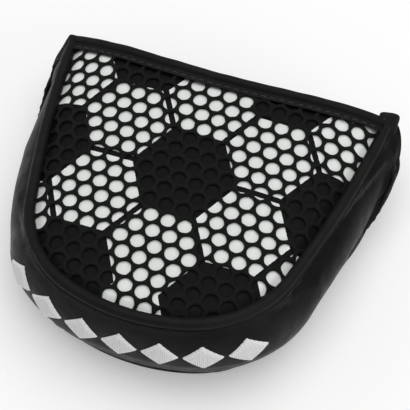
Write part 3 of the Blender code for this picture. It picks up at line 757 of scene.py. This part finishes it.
def layer(name, surface, depth, thickness, grid, body, slot, node, u=(0, 1), v=(0, 1)):
    """Closed layer of a surface over shares u and v of it, from one depth down to a deeper one."""
    across, down = uv_grid(*grid)
    across, down = u[0] + (u[1] - u[0]) * across, v[0] + (v[1] - v[0]) * down
    mesh = shell(name, *(surface.at(across, down, -deep) for deep in (depth, depth + thickness)))
    return put(mesh, body, slot, FINISHES[slot](), node)


TAPE_THICKNESS, TAPE_RISE = 0.0005, 0.0008


def tape(name, here, tangent, normal, section, body, finish, node, closing=0):
    """Folded tape along an edge: a section of (along tangent, along normal) carried down a path.

    The section is rounded by straight lines between its points; the tape's thickness goes
    outwards from it, on the side away from the section's own middle.  Over the last `closing`
    points at either end the section shrinks along a quarter circle, which closes the tape.
    """
    steps = np.linspace(0, 1, len(section))
    fine = np.linspace(0, 1, 3 * (len(section) - 1) + 1)
    curve = np.stack([np.interp(fine, steps, section[:, k]) for k in range(2)], -1)
    soften(curve, 1)
    turn = np.gradient(curve, axis=0)
    out = unit(np.stack([-turn[:, 1], turn[:, 0]], -1))
    if (out * (curve - curve.mean(0))).sum() < 0:
        out = -out
    share = np.minimum(np.arange(len(here)), np.arange(len(here))[::-1]) / max(closing, 1e-6)
    tight = np.sqrt(np.clip(1 - (1 - np.minimum(share, 1)) ** 2, 0.0004, 1))[:, None, None]
    middle = section.mean(0)
    grids = []
    for profile in (curve + out * TAPE_THICKNESS, curve):
        profile = middle + tight * (profile - middle)
        grids.append(here[:, None] + profile[..., :1] * tangent[:, None]
                     + profile[..., 1:] * normal[:, None])
    return put(shell(name, *grids), body, "binding", finish, node)


def stitch_path(here, tangent, normal, inset, skip):
    """Path of the stitches on a tape, inset from its edge and short of its ends by skip points."""
    row = here - inset * tangent + TAPE_RISE * normal
    return row[skip:-skip], normal[skip:-skip]


def stitch_row(name, paths, body, sink=0.3):
    """Row of stitches: short rounded threads along each path, half sunk in the piece.

    A stitch is an ellipse carried along its length, thin at both ends; a path is
    (points, normals).
    """
    look = settings("stitch")
    along, around = np.linspace(-1, 1, 7), np.linspace(0, 2 * np.pi, 7)[:-1]
    girth = (look.radius * np.sqrt(np.clip(1.02 - along ** 2, 0, 1)))[:, None]
    rise = (look.radius * (1 - sink) - 0.6 * look.radius * along ** 4)[:, None]
    step = (along * look.length / 2)[:, None, None]
    rings = []
    for points, normals in paths:
        run = np.concatenate([[0], np.cumsum(np.linalg.norm(np.diff(points, axis=0), axis=1))])
        count = max(2, int(run[-1] / look.pitch))
        spots = (np.arange(count) + 0.5) * run[-1] / count
        tracks = points, np.gradient(points, run, axis=0), normals
        centre, direction, up = (np.stack([np.interp(spots, run, line) for line in track.T], -1)
                                 for track in tracks)
        direction, up = unit(direction), unit(up)
        axes = centre, direction, np.cross(up, direction), up
        centre, direction, across, up = (axis[:, None, None] for axis in axes)
        rings.append(centre + step * direction + (girth * np.cos(around))[..., None] * across
                     + (rise + girth * np.sin(around))[..., None] * up)
    rings = np.concatenate(rings)
    count, rows, columns = rings.shape[:3]
    one = outward(rings[0].reshape(-1, 3), tube_quads(rows, columns))
    mesh = quad_mesh(name, rings.reshape(-1, 3), repeated(one, count, rows * columns))
    finish = thread_finish("black_sewing_thread", (0.022, 0.022, 0.022), 0.5)
    return put(mesh, body, "thread", finish, sharp=180)


# --------------------------------------------------------------------------- shapes of the cover

NET_PHASE = (0.0020237, -0.0009690)
NET_AROUND, NET_REACH = 24, 24
HEM_INSET = 0.0006
NET_PROFILE = ((1.0, 0.0), (0.5, 0.03), (0.28, 0.12), (0.10, 0.28), (0.0, 0.52), (0.10, 0.80),
               (0.35, 0.96), (1.0, 1.0))


def d_plan(u, v, arc_end, straight, offset, setback):
    """Plan of a D from its front arc, two sides and straight edge: a Coons patch.

    Each point is the sum of the two ruled surfaces less the bilinear surface of the corners.
    """
    front, end = rim(CORNER_ARC * (2 * u - 1), offset), rim(np.array(arc_end), offset)
    right = rim(CORNER_ARC + (arc_end - CORNER_ARC) * v, offset)
    corner = rim(np.array(CORNER_ARC), offset)
    hem_x = end[0] * (2 * u - 1)
    hem = hem_x, straight(hem_x) - setback
    last_y = straight(end[0]) - setback
    side_y = right[1] + v * (last_y - end[1])
    x = ((1 - v) * front[0] + v * hem[0] + (2 * u - 1) * right[0]
         - (2 * u - 1) * ((1 - v) * corner[0] + v * end[0]))
    y = (1 - v) * front[1] + v * hem[1] + side_y - ((1 - v) * corner[1] + v * last_y)
    return x, y


def flat_net():
    """Closed flat net: hexagonal cells, each a ring from its six sides to a round hole.

    A point at angle t on share w of the way out lies at hole + w (side(t) - hole), where
    side(t) = pitch / 2 / cos(t - nearest multiple of 60 degrees).
    """
    look = settings("top")
    pitch, hole = look.net_pitch, look.net_hole / 2
    rows = np.array([[np.cos(look.net_turn + a), np.sin(look.net_turn + a)]
                     for a in (0, -np.pi / 3)])
    i, j = np.meshgrid(*[np.arange(-NET_REACH, NET_REACH + 1)] * 2)
    centre = np.stack([i.ravel(), j.ravel()], -1) @ rows * pitch + NET_PHASE
    keep = (seam_distance(centre[:, 0], centre[:, 1]) > -pitch / 2) & (centre[:, 1] < HEM_Y + pitch)
    centre = centre[keep]
    angle = np.arange(NET_AROUND) * 2 * np.pi / NET_AROUND
    near = np.mod(angle + np.pi / 6, np.pi / 3) - np.pi / 6
    side = pitch / 2 / np.cos(near)
    share, depth = np.array(NET_PROFILE).T
    reach = hole + share[:, None] * (side - hole)
    plan = np.stack([np.cos(angle + look.net_turn), np.sin(angle + look.net_turn)], -1)
    uneven = waves(centre[:, 0, None, None] + reach * plan[:, 0],
                   centre[:, 1, None, None] + reach * plan[:, 1], 0.0, 0.0016, 8)
    reach = reach + 0.00009 * uneven * (1 - share)[:, None]
    xy = centre[:, None, None] + reach[..., None] * plan
    low = np.broadcast_to(depth[:, None], reach.shape) * NET_DEPTH
    low = low + 0.00005 * uneven * (np.abs(share - 0.5) < 0.49)[:, None]
    points = np.concatenate([xy, -low[..., None]], -1)
    one = grid_quads(len(share), NET_AROUND, wrap=True)
    quads = repeated(one, len(centre), len(share) * NET_AROUND)
    mesh = quad_mesh("net", points.reshape(-1, 3), quads)
    work = bmesh.new()
    work.from_mesh(mesh)
    bmesh.ops.remove_doubles(work, verts=work.verts, dist=0.00002)
    bmesh.ops.bridge_loops(work, edges=[edge for edge in work.edges if edge.is_boundary])
    bmesh.ops.recalc_face_normals(work, faces=work.faces)
    work.to_mesh(mesh)
    work.free()
    return mesh


def cut_to_panel(mesh):
    """The part of a flat net inside the piping line and the hem."""
    s = np.linspace(-HEM_ARC, HEM_ARC, 240)
    x, y = rim(s, -0.0010)
    hem_x = np.linspace(x[-1], x[0], 60)[1:-1]
    plan = np.concatenate([np.stack([x, y], -1), np.stack([hem_x, hem_y(hem_x) - HEM_INSET], -1)])
    count = len(plan)
    points = np.concatenate([np.c_[plan, np.full(count, 0.01)], np.c_[plan, np.full(count, -0.01)]])
    ring = np.arange(count)
    sides = np.stack([ring, ring + count, np.roll(ring, -1) + count, np.roll(ring, -1)], -1)
    prism = bpy.data.meshes.new("panel_cut")
    faces = [ring.tolist(), (ring[::-1] + count).tolist(), *sides.tolist()]
    prism.from_pydata(points.tolist(), [], faces)
    cutter, obj = placed("panel_cut", prism), placed("net", mesh)
    cut = obj.modifiers.new("cut", "BOOLEAN")
    cut.object, cut.operation, cut.solver = cutter, "INTERSECT", "MANIFOLD"
    done = bpy.data.meshes.new_from_object(obj.evaluated_get(bpy.context.evaluated_depsgraph_get()))
    for item in (cutter, obj):
        bpy.data.objects.remove(item)
    return done


def top_layer(name, depth, thickness, inset, slot, node):
    """One cloth or foam layer of the padded top, from depth to depth + thickness."""
    u, v = uv_grid(150, 120)
    x, y = d_plan(u, v, HEM_ARC, hem_y, -inset, HEM_INSET)
    mesh = shell(name, top_layer_point(x, y, depth), top_layer_point(x, y, depth + thickness))
    return put(mesh, "cover", slot, FINISHES[slot](), node)


def top_layer_point(x, y, depth):
    """Top point whose dip fades with depth, since the padding is pressed thin at its edges."""
    point = top_point(x, y, depth)
    point[..., 2] += top_dip(x, y) * 0.6 * depth / TOP_STACK
    return point


WALL_V = np.concatenate([-TURN_SHARE * np.array([1, 0.66, 0.33]), np.linspace(0, 1, 29),
                         1 + TURN_SHARE * np.array([0.33, 0.66, 1])])


def wall_place(s, v):
    """Surface coordinates of arc length s and height share v on the wall."""
    return ((s / mouth_arc(v) + 1) / 2,
            np.interp(v, WALL_V, np.linspace(0, 1, len(WALL_V))))


STIFF_REACH, STIFF_FOOT, TAPE_HOLD = 0.050, 0.62, 0.0042


@functools.cache
def wall_shape():
    """The wall's leather, settled between its seams, its end tapes and the stiff embroidery."""
    u, v = np.meshgrid(np.linspace(0, 1, 301), WALL_V)
    arc = mouth_arc(v)
    s = (2 * u - 1) * arc
    points = wall_point(s, v)
    held = (v <= 0.001) | (v >= 0.999) | (np.abs(s) > arc - TAPE_HOLD)
    settled = settle(points, held, 3.0, settings("leather").slack, 0.0012)
    stiff = smooth_step((STIFF_REACH - np.abs(s)) / 0.010) * smooth_step((STIFF_FOOT - v) / 0.12)
    move = (settled - points) * (1 - 0.85 * stiff)[..., None]
    x, y, z = np.moveaxis(points, -1, 0)
    slow = 0.00020 * waves(x, y, z, 0.021, 21)
    fold = 0.00009 * waves(x, y, z * 0.4, 0.0085, 5)
    free = np.sin(np.pi * np.clip(v, 0, 1)) * (1 - 0.6 * stiff)
    return Surface(points + move + Surface(points).normals * ((slow + fold) * free)[..., None])


@functools.cache
def underside_shape():
    """Underside leather in soft low waves that stay above the ground."""
    u, v = uv_grid(110, 90)
    x, y = d_plan(u, v, float(arc_at(UNDERSIDE_HEM_Y)), lambda x: UNDERSIDE_HEM_Y + 0 * x,
                  RIM_OFFSET + WALL_SPLAY - LEATHER - 0.0001, 0.0003)
    points = underside_point(x, y, 0.0)
    points[..., 2] += 0.00016 * (1 + waves(x, y, 0.0, 0.018, 9))
    return Surface(points)


FACE_TOP, FACE_BOTTOM = FACE_HINGE_Z - GAP, TONGUE_HINGE_Z + HINGE_RADIUS


@functools.cache
def face_shape():
    """Upright flap leather, puffed between its tapes and creases."""
    u, v = uv_grid(120, 30)
    points = np.stack([HALF_FLAP * (1 - 2 * u), FACE_BACK_Y + 0 * u,
                       FACE_BOTTOM + (FACE_TOP - FACE_BOTTOM) * v], -1)
    held = (np.abs(points[..., 0]) > HALF_FLAP - 0.0036) | (v < 0.01) | (v > 0.99)
    return Surface(settle(points, held, 1.2, 0.006, 0.0009))


def tongue_half_width(y):
    """Half width of the tongue: a taper with round corners at the tip."""
    start = FACE_Y - HINGE_RADIUS
    share = (start - y) / (start - TONGUE_TIP_Y)
    reach = np.clip(1 - (y - TONGUE_TIP_Y) / TIP_CORNER, 0.0, 1.0)
    return HALF_FLAP + (TIP_HALF - HALF_FLAP) * share - TIP_CORNER * (1 - np.sqrt(1 - reach ** 2))


def tongue_y(v):
    """Rows of the tongue, closer together round its tip corners."""
    return TONGUE_TIP_Y + (FACE_Y - HINGE_RADIUS - TONGUE_TIP_Y) * (1 - np.cos(v * np.pi / 2))


@functools.cache
def tongue_shape():
    """Tongue leather; its outside faces the ground."""
    u, v = uv_grid(110, 60)
    y = tongue_y(v)
    x = tongue_half_width(y) * (2 * u - 1)
    soft = 0.00012 * waves(x, y, 0.0, 0.016, 14)
    return Surface(np.stack([x, y, TONGUE_BOTTOM + soft], -1), np.array([0.0, 0.02, 0.05]))


FLAP_FOLD_Y = FACE_BACK_Y + 0.0006


def fold_sheet(name, path, half_width, body, *nodes):
    """Strip of leather across the cover along a path of (y, z) points, its thickness inwards."""
    steps = np.linspace(0, 1, len(path))
    u, v = uv_grid(60, 36)
    y, z = (np.interp(v, steps, path[:, k]) for k in range(2))
    soften(y, 3)
    soften(z, 3)
    surface = Surface(np.stack([half_width * (2 * u - 1), y, z], -1))
    mesh = shell(name, surface.at(u, v), surface.at(u, v, -LEATHER))
    return put(mesh, body, "leather", leather_finish(), *nodes, ride=False)


# ------------------------------------------------------------------------------------ operators


class AddNet(bpy.types.Operator):
    """Knitted net with round holes, stretched over the top"""
    bl_idname, bl_label = "head_cover.add_net", "Top net"

    def execute(self, context):
        mesh = cut_to_panel(flat_net())
        co = np.empty(len(mesh.vertices) * 3, np.float32)
        mesh.vertices.foreach_get("co", co)
        x, y, z = co.reshape(-1, 3).T.astype(float)
        mesh.vertices.foreach_set("co", top_layer_point(x, y, -z).astype(np.float32).ravel())
        mesh.name = "net_mesh"
        mesh.update()
        net = put(mesh, "cover", "net", yarn_finish(), "top_net", sharp=60)
        look = settings("top")
        return {"FINISHED"}


class AddTopLayers(bpy.types.Operator):
    """Printed cloth, padding and lining under the net"""
    bl_idname, bl_label = "head_cover.add_top_layers", "Print, padding and lining"

    def execute(self, context):
        depth = NET_DEPTH + 0.0001
        cloth = top_layer("print_cloth", depth, PRINT_DEPTH, 0.0010, "print", "top_print_panel")
        depth += PRINT_DEPTH + GAP
        pad = top_layer("top_padding", depth, TOP_FOAM_DEPTH, RIM_OFFSET, "foam", "top_foam")
        depth += TOP_FOAM_DEPTH + GAP
        lining = top_layer("top_lining_cloth", depth, LINING, -0.0004, "lining", "top_lining")
        return {"FINISHED"}


HEM_SECTION = np.array([
    (-5.0, -0.30), (-4.6, -0.22), (-3.6, -0.40), (-2.6, -0.55), (-2.1, -0.95), (-1.8, -0.45),
    (-1.3, 0.05), (-0.7, 0.25), (-0.1, 0.10), (0.35, -0.45), (0.62, -1.5), (0.68, -2.8),
    (0.5, -4.0), (0.0, -5.0), (-1.0, -5.6), (-2.6, -5.7), (-3.8, -5.6)]) / 1000


def hem_frames(x):
    """Points, outward direction and normals along the top's straight edge."""
    y = hem_y(x)
    slope, length = top_slope(x)
    normal = np.stack([-slope, 0 * x, 1 + 0 * x], -1) / length[:, None]
    lift = 0.00012 * waves(x, y, 0.0, 0.012, 31)
    here = np.stack([x, y, top_z(x)], -1) + normal * lift[:, None]
    return here, np.tile(BACK, (len(x), 1)), normal


class AddTopTape(bpy.types.Operator):
    """Rolled leather tape along the straight edge of the top"""
    bl_idname, bl_label = "head_cover.add_top_tape", "Top edge tape"

    def execute(self, context):
        reach = PANEL_WIDTH / 2 + 0.0012
        here, tangent, normal = hem_frames(np.linspace(-reach, reach, 220))
        tape("top_edge_tape", here, tangent, normal, HEM_SECTION, "cover",
             leather_finish(trim=True), "top_hem")
        inner = hem_frames(np.linspace(-reach + 0.004, reach - 0.004, 200))
        row = inner[0] - 0.0042 * inner[1] + 0.00015 * inner[2]
        stitch_row("top_edge_stitches", [(row, inner[2])], "cover")
        return {"FINISHED"}


class AddPiping(bpy.types.Operator):
    """Leather covered cord round the top seam"""
    bl_idname, bl_label = "head_cover.add_piping", "Piping"

    def execute(self, context):
        s = np.linspace(-HEM_ARC - 0.0008, HEM_ARC + 0.0008, 460)
        turn = np.linspace(0, 2 * np.pi, 25)[:-1]
        x, y = rim(s)
        out_x, out_y = rim(s, 0.001)
        out = np.stack([out_x - x, out_y - y, 0 * x], -1) / 0.001
        fade = smooth_step((HEM_ARC + 0.0005 - np.abs(s)) / 0.009)
        tight = np.exp(-((np.abs(s) - 0.036) / 0.016) ** 2)
        crease = waves(s[:, None], 0.0018 * np.cos(turn), 0.0018 * np.sin(turn), 0.0026, 12)
        soft = waves(s[:, None], 0.001 * np.cos(turn), 0.001 * np.sin(turn), 0.015, 2)
        radius = PIPING_RADIUS * (0.80 + 0.20 * fade)[:, None]
        radius = radius + (0.00002 + 0.00004 * tight)[:, None] * crease + 0.00006 * soft
        radius = radius * (1 + 0.22 * np.clip(-np.sin(turn), 0, 1) ** 6)
        centre = np.stack([x, y, top_z(x) - PIPING_SINK], -1)
        rings = (centre[:, None] + (radius * np.cos(turn))[..., None] * out[:, None]
                 + (radius * np.sin(turn))[..., None] * UP)
        put(tube_mesh("piping", rings), "cover", "piping", leather_finish(trim=True),
            "piping_cover", sharp=80)
        return {"FINISHED"}


class AddWall(bpy.types.Operator):
    """Leather side wall with its padding and lining"""
    bl_idname, bl_label = "head_cover.add_wall", "Side wall"

    def execute(self, context):
        wall = wall_shape()
        skin = layer("wall_skin", wall, 0.0, LEATHER, (300, len(WALL_V) - 1), "cover", "leather",
                     "wall_leather")
        edge = 3.5 / (len(WALL_V) - 1)
        pad = layer("wall_padding", wall, LEATHER + GAP / 2, WALL_FOAM, (200, 24), "cover", "foam",
                    "wall_foam", (0.014, 0.986), (1.6 * edge, 1 - 1.6 * edge))
        lining = layer("wall_lining_cloth", wall, LEATHER + WALL_FOAM + GAP, LINING, (200, 24),
                       "cover", "lining", "wall_lining", (0.004, 0.996), (edge, 1 - edge))
        return {"FINISHED"}


END_SECTION = np.array([
    (-4.6, 0.02), (-4.3, 0.30), (-3.4, 0.42), (-1.8, 0.60), (-0.5, 0.55), (0.3, 0.15), (0.62, -0.8),
    (0.66, -2.0), (0.55, -3.3), (0.0, -4.1), (-1.5, -4.35), (-4.4, -4.3)]) / 1000


# How the tape swells at the top of each end: its crest moves by CREST, turns outwards and towards
# FLARE_FACE by the share FLARE, and widens by WIDEN; below the crest it is drawn in by PINCH.
CREST = {"left": np.array([0.0034, -0.0008, 0.0022]), "right": np.array([-0.0018, 0.0014, 0.0026])}
PINCH, FLARE = {"left": 0.0, "right": -0.0024}, {"left": 0.8, "right": 0.85}
WIDEN, FLARE_FACE = {"left": 0.45, "right": 0.15}, np.array([0.0, -0.50, 0.87])
CREST_SHARE, PINCH_SHARE = 0.30, 0.45


class AddWallTapes(bpy.types.Operator):
    """Padded tape round the wall's two slanting ends"""
    bl_idname, bl_label = "head_cover.add_wall_tapes", "Wall end tapes"

    def execute(self, context):
        wall, v = wall_shape(), np.linspace(0.0, 1.0, 110)
        paths = []
        for side, name in ((-1, "left"), (1, "right")):
            u = np.full(len(v), (1 + side) / 2)
            row = wall_place(mouth_arc(v), v)[1]
            here, tangent, normal = wall.frame_at(u, row, (side, 0))
            swell = 0.00018 * waves(here[:, 0], here[:, 1], here[:, 2], 0.009, 17)
            crest = (1 - smooth_step(v / CREST_SHARE))[:, None]
            here = here + normal * (swell[:, None] + 0.0010 * crest) + crest * CREST[name]
            here[:, 0] += PINCH[name] * np.sin(np.pi * np.clip(v / PINCH_SHARE, 0, 1)) ** 2
            turn = FLARE[name] * crest
            tangent = unit((1 - turn) * tangent + turn * side * RIGHT)
            normal = (1 - turn) * normal + turn * FLARE_FACE
            normal -= (normal * tangent).sum(axis=1, keepdims=True) * tangent
            normal = unit(normal)
            tangent = tangent * (1 + WIDEN[name] * crest)
            tape(f"wall_end_tape_{name}", here, tangent, normal, END_SECTION, "cover",
                 leather_finish(trim=True), f"wall_end_binding_{name}", closing=7)
            paths.append(stitch_path(here, tangent, normal, 0.0037, 6))
        stitch_row("wall_end_stitches", paths, "cover", sink=0.7)
        return {"FINISHED"}


class AddMarks(bpy.types.Operator):
    """Row of diamonds in satin stitch round the front of the wall"""
    bl_idname, bl_label = "head_cover.add_marks", "Embroidered diamonds"

    def execute(self, context):
        look, wall = settings("stitch"), wall_shape()
        a, b = uv_grid(72, 72, -1.0, 1.0)
        a = 2 * a - 1
        height = PANEL_TOP - WALL_DROP - LOWER_SEAM_HEIGHT
        finish = thread_finish("white_satin_thread", tuple(look.mark_colour), 0.42)
        for index in range(MARK_COUNT):
            across = (a - b) / 2 * MARK_WIDTH / 2
            down = (a + b) / 2 * MARK_HEIGHT / 2 / height
            ragged = 1 + 0.02 * np.sin(across / look.satin_pitch * np.pi + index)
            s = MARK_SHIFT + MARK_PITCH * (index - (MARK_COUNT - 1) / 2) + across
            u, v = wall_place(s, MARK_CENTRE + down * ragged)
            edge = np.maximum(np.abs(a), np.abs(b))
            thread = np.abs(np.sin(np.pi * across / look.satin_pitch))
            pad = np.sqrt(np.clip(1 - edge ** 6, 0, 1))
            rise = look.mark_rise * pad * (0.66 + 0.34 * thread)
            mesh = shell(f"stitched_diamond_{index + 1}", wall.at(u, v, rise - 0.00005),
                         wall.at(u, v, -0.0004))
            put(mesh, "cover", "thread", finish, f"wall_mark_{index + 1}", sharp=75)
        return {"FINISHED"}


UNDER_SECTION = np.array([
    (-3.4, 0.05), (-3.1, 0.30), (-1.6, 0.45), (-0.3, 0.35), (0.4, -0.2), (0.6, -1.4), (0.55, -2.6),
    (0.2, -3.8), (-0.6, -4.4), (-3.4, -4.5)]) / 1000


class AddUnderside(bpy.types.Operator):
    """Underside panel with its padding, lining and edge tape"""
    bl_idname, bl_label = "head_cover.add_underside", "Underside"

    def execute(self, context):
        base = underside_shape()
        skin = layer("underside_skin", base, 0.0, LEATHER, (110, 90), "cover", "leather",
                     "underside_leather")
        lining = layer("underside_lining_cloth", base, LEATHER + BASE_FOAM + 0.0010, LINING,
                       (90, 70), "cover", "lining", "underside_lining", (0.025, 0.975),
                       (0.035, 0.995))
        reach = float(rim(arc_at(UNDERSIDE_HEM_Y), 0.0)[0]) + 0.0002
        x = np.linspace(reach, -reach, 160)
        here = np.stack([x, UNDERSIDE_HEM_Y + 0 * x, BASE_LIFT + 0 * x], -1)
        tangent, normal = np.tile(BACK, (len(x), 1)), np.tile(-UP, (len(x), 1))
        tape("underside_edge_tape", here, tangent, normal, UNDER_SECTION, "cover", tape_finish(),
             "underside_hem")
        stitch_row("underside_edge_stitches", [stitch_path(here, tangent, normal, 0.0024, 4)],
                   "cover")
        return {"FINISHED"}


FLAP_SECTION = np.array([
    (-4.0, 0.05), (-3.7, 0.28), (-2.2, 0.40), (-0.5, 0.35), (0.25, 0.0), (0.5, -0.9), (0.55, -1.6),
    (0.5, -2.3), (0.2, -3.2), (-0.5, -3.5), (-2.2, -3.6), (-4.0, -3.5)]) / 1000


class AddFace(bpy.types.Operator):
    """Upright part of the flap, its two side tapes and the crease strip that it swings on"""
    bl_idname, bl_label = "head_cover.add_face", "Flap face"

    def execute(self, context):
        face = face_shape()
        skin = layer("face_skin", face, 0.0, LEATHER, (120, 30), "flap_face", "leather",
                     "face_leather")
        pad = layer("face_pad", face, LEATHER + GAP / 2, FLAP_CORE, (90, 20), "flap_face", "foam",
                    "face_padding", (0.01, 0.99), (0.02, 0.98))
        lining = layer("face_lining_cloth", face, LEATHER + FLAP_CORE + 2 * GAP, LINING, (90, 20),
                       "flap_face", "lining", "face_lining", (0.01, 0.99))
        paths = []
        z = np.linspace(FACE_TOP - 0.0002, FACE_BOTTOM, 60)
        for side, name in ((-1, "left"), (1, "right")):
            here = np.stack([np.full(60, side * HALF_FLAP), np.full(60, FACE_BACK_Y), z], -1)
            tangent, normal = np.tile(side * RIGHT, (60, 1)), np.tile(BACK, (60, 1))
            tape(f"face_tape_{name}", here, tangent, normal, FLAP_SECTION, "flap_face",
                 tape_finish(), f"face_binding_{name}", closing=3)
            paths.append(stitch_path(here, tangent, normal, 0.0028, 3))
        stitch_row("face_stitches", paths, "flap_face")
        path = np.array([(0.0452, 0.0262), (0.0478, 0.0260), (0.0500, 0.0253), (0.0511, 0.0242),
                         (FLAP_FOLD_Y, 0.0229), (FLAP_FOLD_Y, 0.0212), (FLAP_FOLD_Y, 0.0190)])
        strip = fold_sheet("upper_fold", path, HALF_ANCHOR, "cover", "flap_anchor")
        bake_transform(strip)
        row_x = np.linspace(-HALF_ANCHOR + 0.0015, HALF_ANCHOR - 0.0015, 120)
        row = np.stack([row_x, np.full(120, FLAP_FOLD_Y + 0.0001), np.full(120, 0.0200)], -1)
        stitch_row("upper_fold_stitches", [(row, np.tile(BACK, (120, 1)))], "flap_face")
        return {"FINISHED"}


class AddTongue(bpy.types.Operator):
    """Tongue that folds under, its tape and the crease strip at its root"""
    bl_idname, bl_label = "head_cover.add_tongue", "Flap tongue"

    def execute(self, context):
        tongue = tongue_shape()
        skin = layer("tongue_skin", tongue, 0.0, LEATHER, (110, 60), "flap_tongue", "leather",
                     "tongue_leather")
        lining = layer("tongue_lining_cloth", tongue, LEATHER + FLAP_CORE + 2 * GAP, LINING,
                       (90, 50), "flap_tongue", "lining", "tongue_lining")
        here, tangent, normal = tongue_frames(260)
        tape("tongue_tape", here, tangent, normal, FLAP_SECTION, "flap_tongue", tape_finish(),
             "tongue_binding", closing=3)
        stitch_row("tongue_stitches", [stitch_path(here, tangent, normal, 0.0028, 3)],
                   "flap_tongue")
        turn, bend = np.linspace(0, np.pi / 2, 9), 0.0040
        arc = np.stack([FACE_BACK_Y - bend + bend * np.cos(turn),
                        TONGUE_BOTTOM + bend - bend * np.sin(turn)], -1)
        path = np.concatenate([[(FACE_BACK_Y, FACE_BOTTOM + 0.0004)], arc,
                               [(FACE_Y - HINGE_RADIUS - 0.0004, TONGUE_BOTTOM)]])
        strip = fold_sheet("lower_fold", path, HALF_FLAP, "flap_face")
        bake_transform(strip)
        return {"FINISHED"}


def tongue_frames(count):
    """Points, outward directions and normals round the tongue from root to tip to root."""
    rows = tongue_y(np.linspace(1.0, 0.0, 80))
    half = tongue_half_width(rows)
    tip = np.linspace(-half[-1], half[-1], 40)[1:-1]
    x = np.concatenate([-half, tip, half[::-1]])
    y = np.concatenate([rows, np.full(len(tip), TONGUE_TIP_Y), rows[::-1]])
    run = np.concatenate([[0.0], np.cumsum(np.hypot(np.diff(x), np.diff(y)))])
    even = np.linspace(0, run[-1], count)
    x, y = np.interp(even, run, x), np.interp(even, run, y)
    turn = np.stack([np.gradient(y, even), -np.gradient(x, even), 0 * x], -1)
    soften(turn, 4)
    here = np.stack([x, y, np.full(count, TONGUE_BOTTOM)], -1)
    return here, unit(turn), np.tile(-UP, (count, 1))


class DressHiddenParts(bpy.types.Operator):
    """Finishes of the cord, magnets, stiffener and foam that keep their frame shapes"""
    bl_idname, bl_label = "head_cover.dress_hidden_parts", "Hidden parts"

    def execute(self, context):
        for part, look in HIDDEN.items():
            for place in (slot for name in NODES if part in name
                          for slot in NODES[name].material_slots):
                place.material = plain_finish(*look)
        return {"FINISHED"}


FLOOR_HALF, FLOOR_DROP, FLOOR_GLOW = 3.0, 0.0002, 0.22
LAMPS = (("key", (0.10, 0.20, 0.95), 1.10, 1.0), ("right_fill", (0.55, -0.25, 0.28), 0.30, 0.10),
         ("left_fill", (-0.6, 0.1, 0.35), 0.35, 0.07))


class SetStage(bpy.types.Operator):
    """Pale floor, soft studio light and the camera"""
    bl_idname, bl_label = "head_cover.set_stage", "Stage"

    def execute(self, context):
        look, scene = settings("stage"), context.scene
        toward = np.array([np.sin(look.azimuth) * np.cos(look.elevation),
                           -np.cos(look.azimuth) * np.cos(look.elevation), np.sin(look.elevation)])
        level = np.array([np.cos(look.azimuth), np.sin(look.azimuth), 0.0])
        lift = np.cross(toward, level)
        right = np.cos(look.roll) * level - np.sin(look.roll) * lift
        up = np.sin(look.roll) * level + np.cos(look.roll) * lift
        place = np.array(look.aim) + toward * look.distance
        camera = placed("camera", bpy.data.cameras.new("camera"))
        camera.data.lens = look.lens
        camera.data.clip_start = 0.01
        camera.matrix_world = Matrix(np.block([[np.stack([right, up, toward, place], -1)],
                                               [np.array([0, 0, 0, 1])]]).tolist())
        scene.camera = camera
        floor = bpy.data.meshes.new("floor")
        floor.from_pydata([(x * FLOOR_HALF, y * FLOOR_HALF, -FLOOR_DROP)
                           for x, y in ((-1, -1), (1, -1), (1, 1), (-1, 1))], [], [(0, 1, 2, 3)])
        material, tree, shader, spot = new_finish("pale_floor", 0.9, 0.1)
        tinted(tree, shader, noise(tree, spot, 0.5), look.floor_colour, 0.98, 1.0)
        shader.inputs["Emission Color"].default_value = (1.0, 1.0, 1.0, 1.0)
        shader.inputs["Emission Strength"].default_value = FLOOR_GLOW
        floor.materials.append(material)
        ground = placed("floor", floor)
        world = bpy.data.worlds.new("studio")
        world.use_nodes = True
        sky = world.node_tree.nodes["Background"].inputs
        sky["Strength"].default_value = look.room_light
        sky["Color"].default_value = (1.0, 1.0, 1.0, 1.0)
        scene.world = world
        scene.view_settings.view_transform = "Standard"
        for name, spot, size, share in LAMPS:
            light = bpy.data.lights.new(name, "AREA")
            light.size, light.energy = size, share * look.key_light
            lamp = placed(name, light)
            lamp.location = spot
            away = Vector(spot) - Vector((0, 0, 0.02))
            lamp.rotation_euler = away.to_track_quat("Z", "Y").to_euler()
        return {"FINISHED"}


STEPS = (SetStage, AddNet, AddTopLayers, AddTopTape, AddPiping, AddWall, AddWallTapes, AddMarks,
         AddUnderside, AddFace, AddTongue, DressHiddenParts)
GROUPS = {"top": CoverTopSettings, "leather": CoverLeatherSettings, "stitch": CoverStitchSettings,
          "stage": CoverStageSettings}


class HeadCoverPanel(bpy.types.Panel):
    """Sizes, colours and steps of the head cover"""
    bl_idname, bl_label = "VIEW3D_PT_head_cover", "Head cover"
    bl_space_type, bl_region_type, bl_category = "VIEW_3D", "UI", "Head cover"

    def draw(self, context):
        for group, kind in GROUPS.items():
            box = self.layout.box()
            for name in kind.__annotations__:
                box.prop(settings(group), name)
        for step in STEPS:
            self.layout.operator(step.bl_idname)


def register():
    """Register the classes and put the settings on the scene."""
    for kind in (*GROUPS.values(), *STEPS, HeadCoverPanel):
        bpy.utils.register_class(kind)
    for group, kind in GROUPS.items():
        setattr(bpy.types.Scene, "head_cover_" + group, PointerProperty(type=kind))


def unregister():
    """Take the settings off the scene and unregister the classes."""
    for group in GROUPS:
        delattr(bpy.types.Scene, "head_cover_" + group)
    for kind in (HeadCoverPanel, *reversed(STEPS), *GROUPS.values()):
        bpy.utils.unregister_class(kind)


def main():
    """Build every piece in order."""
    register()
    for step in STEPS:
        area, name = step.bl_idname.split(".")
        getattr(getattr(bpy.ops, area), name)()


if __name__ == "__main__":
    main()
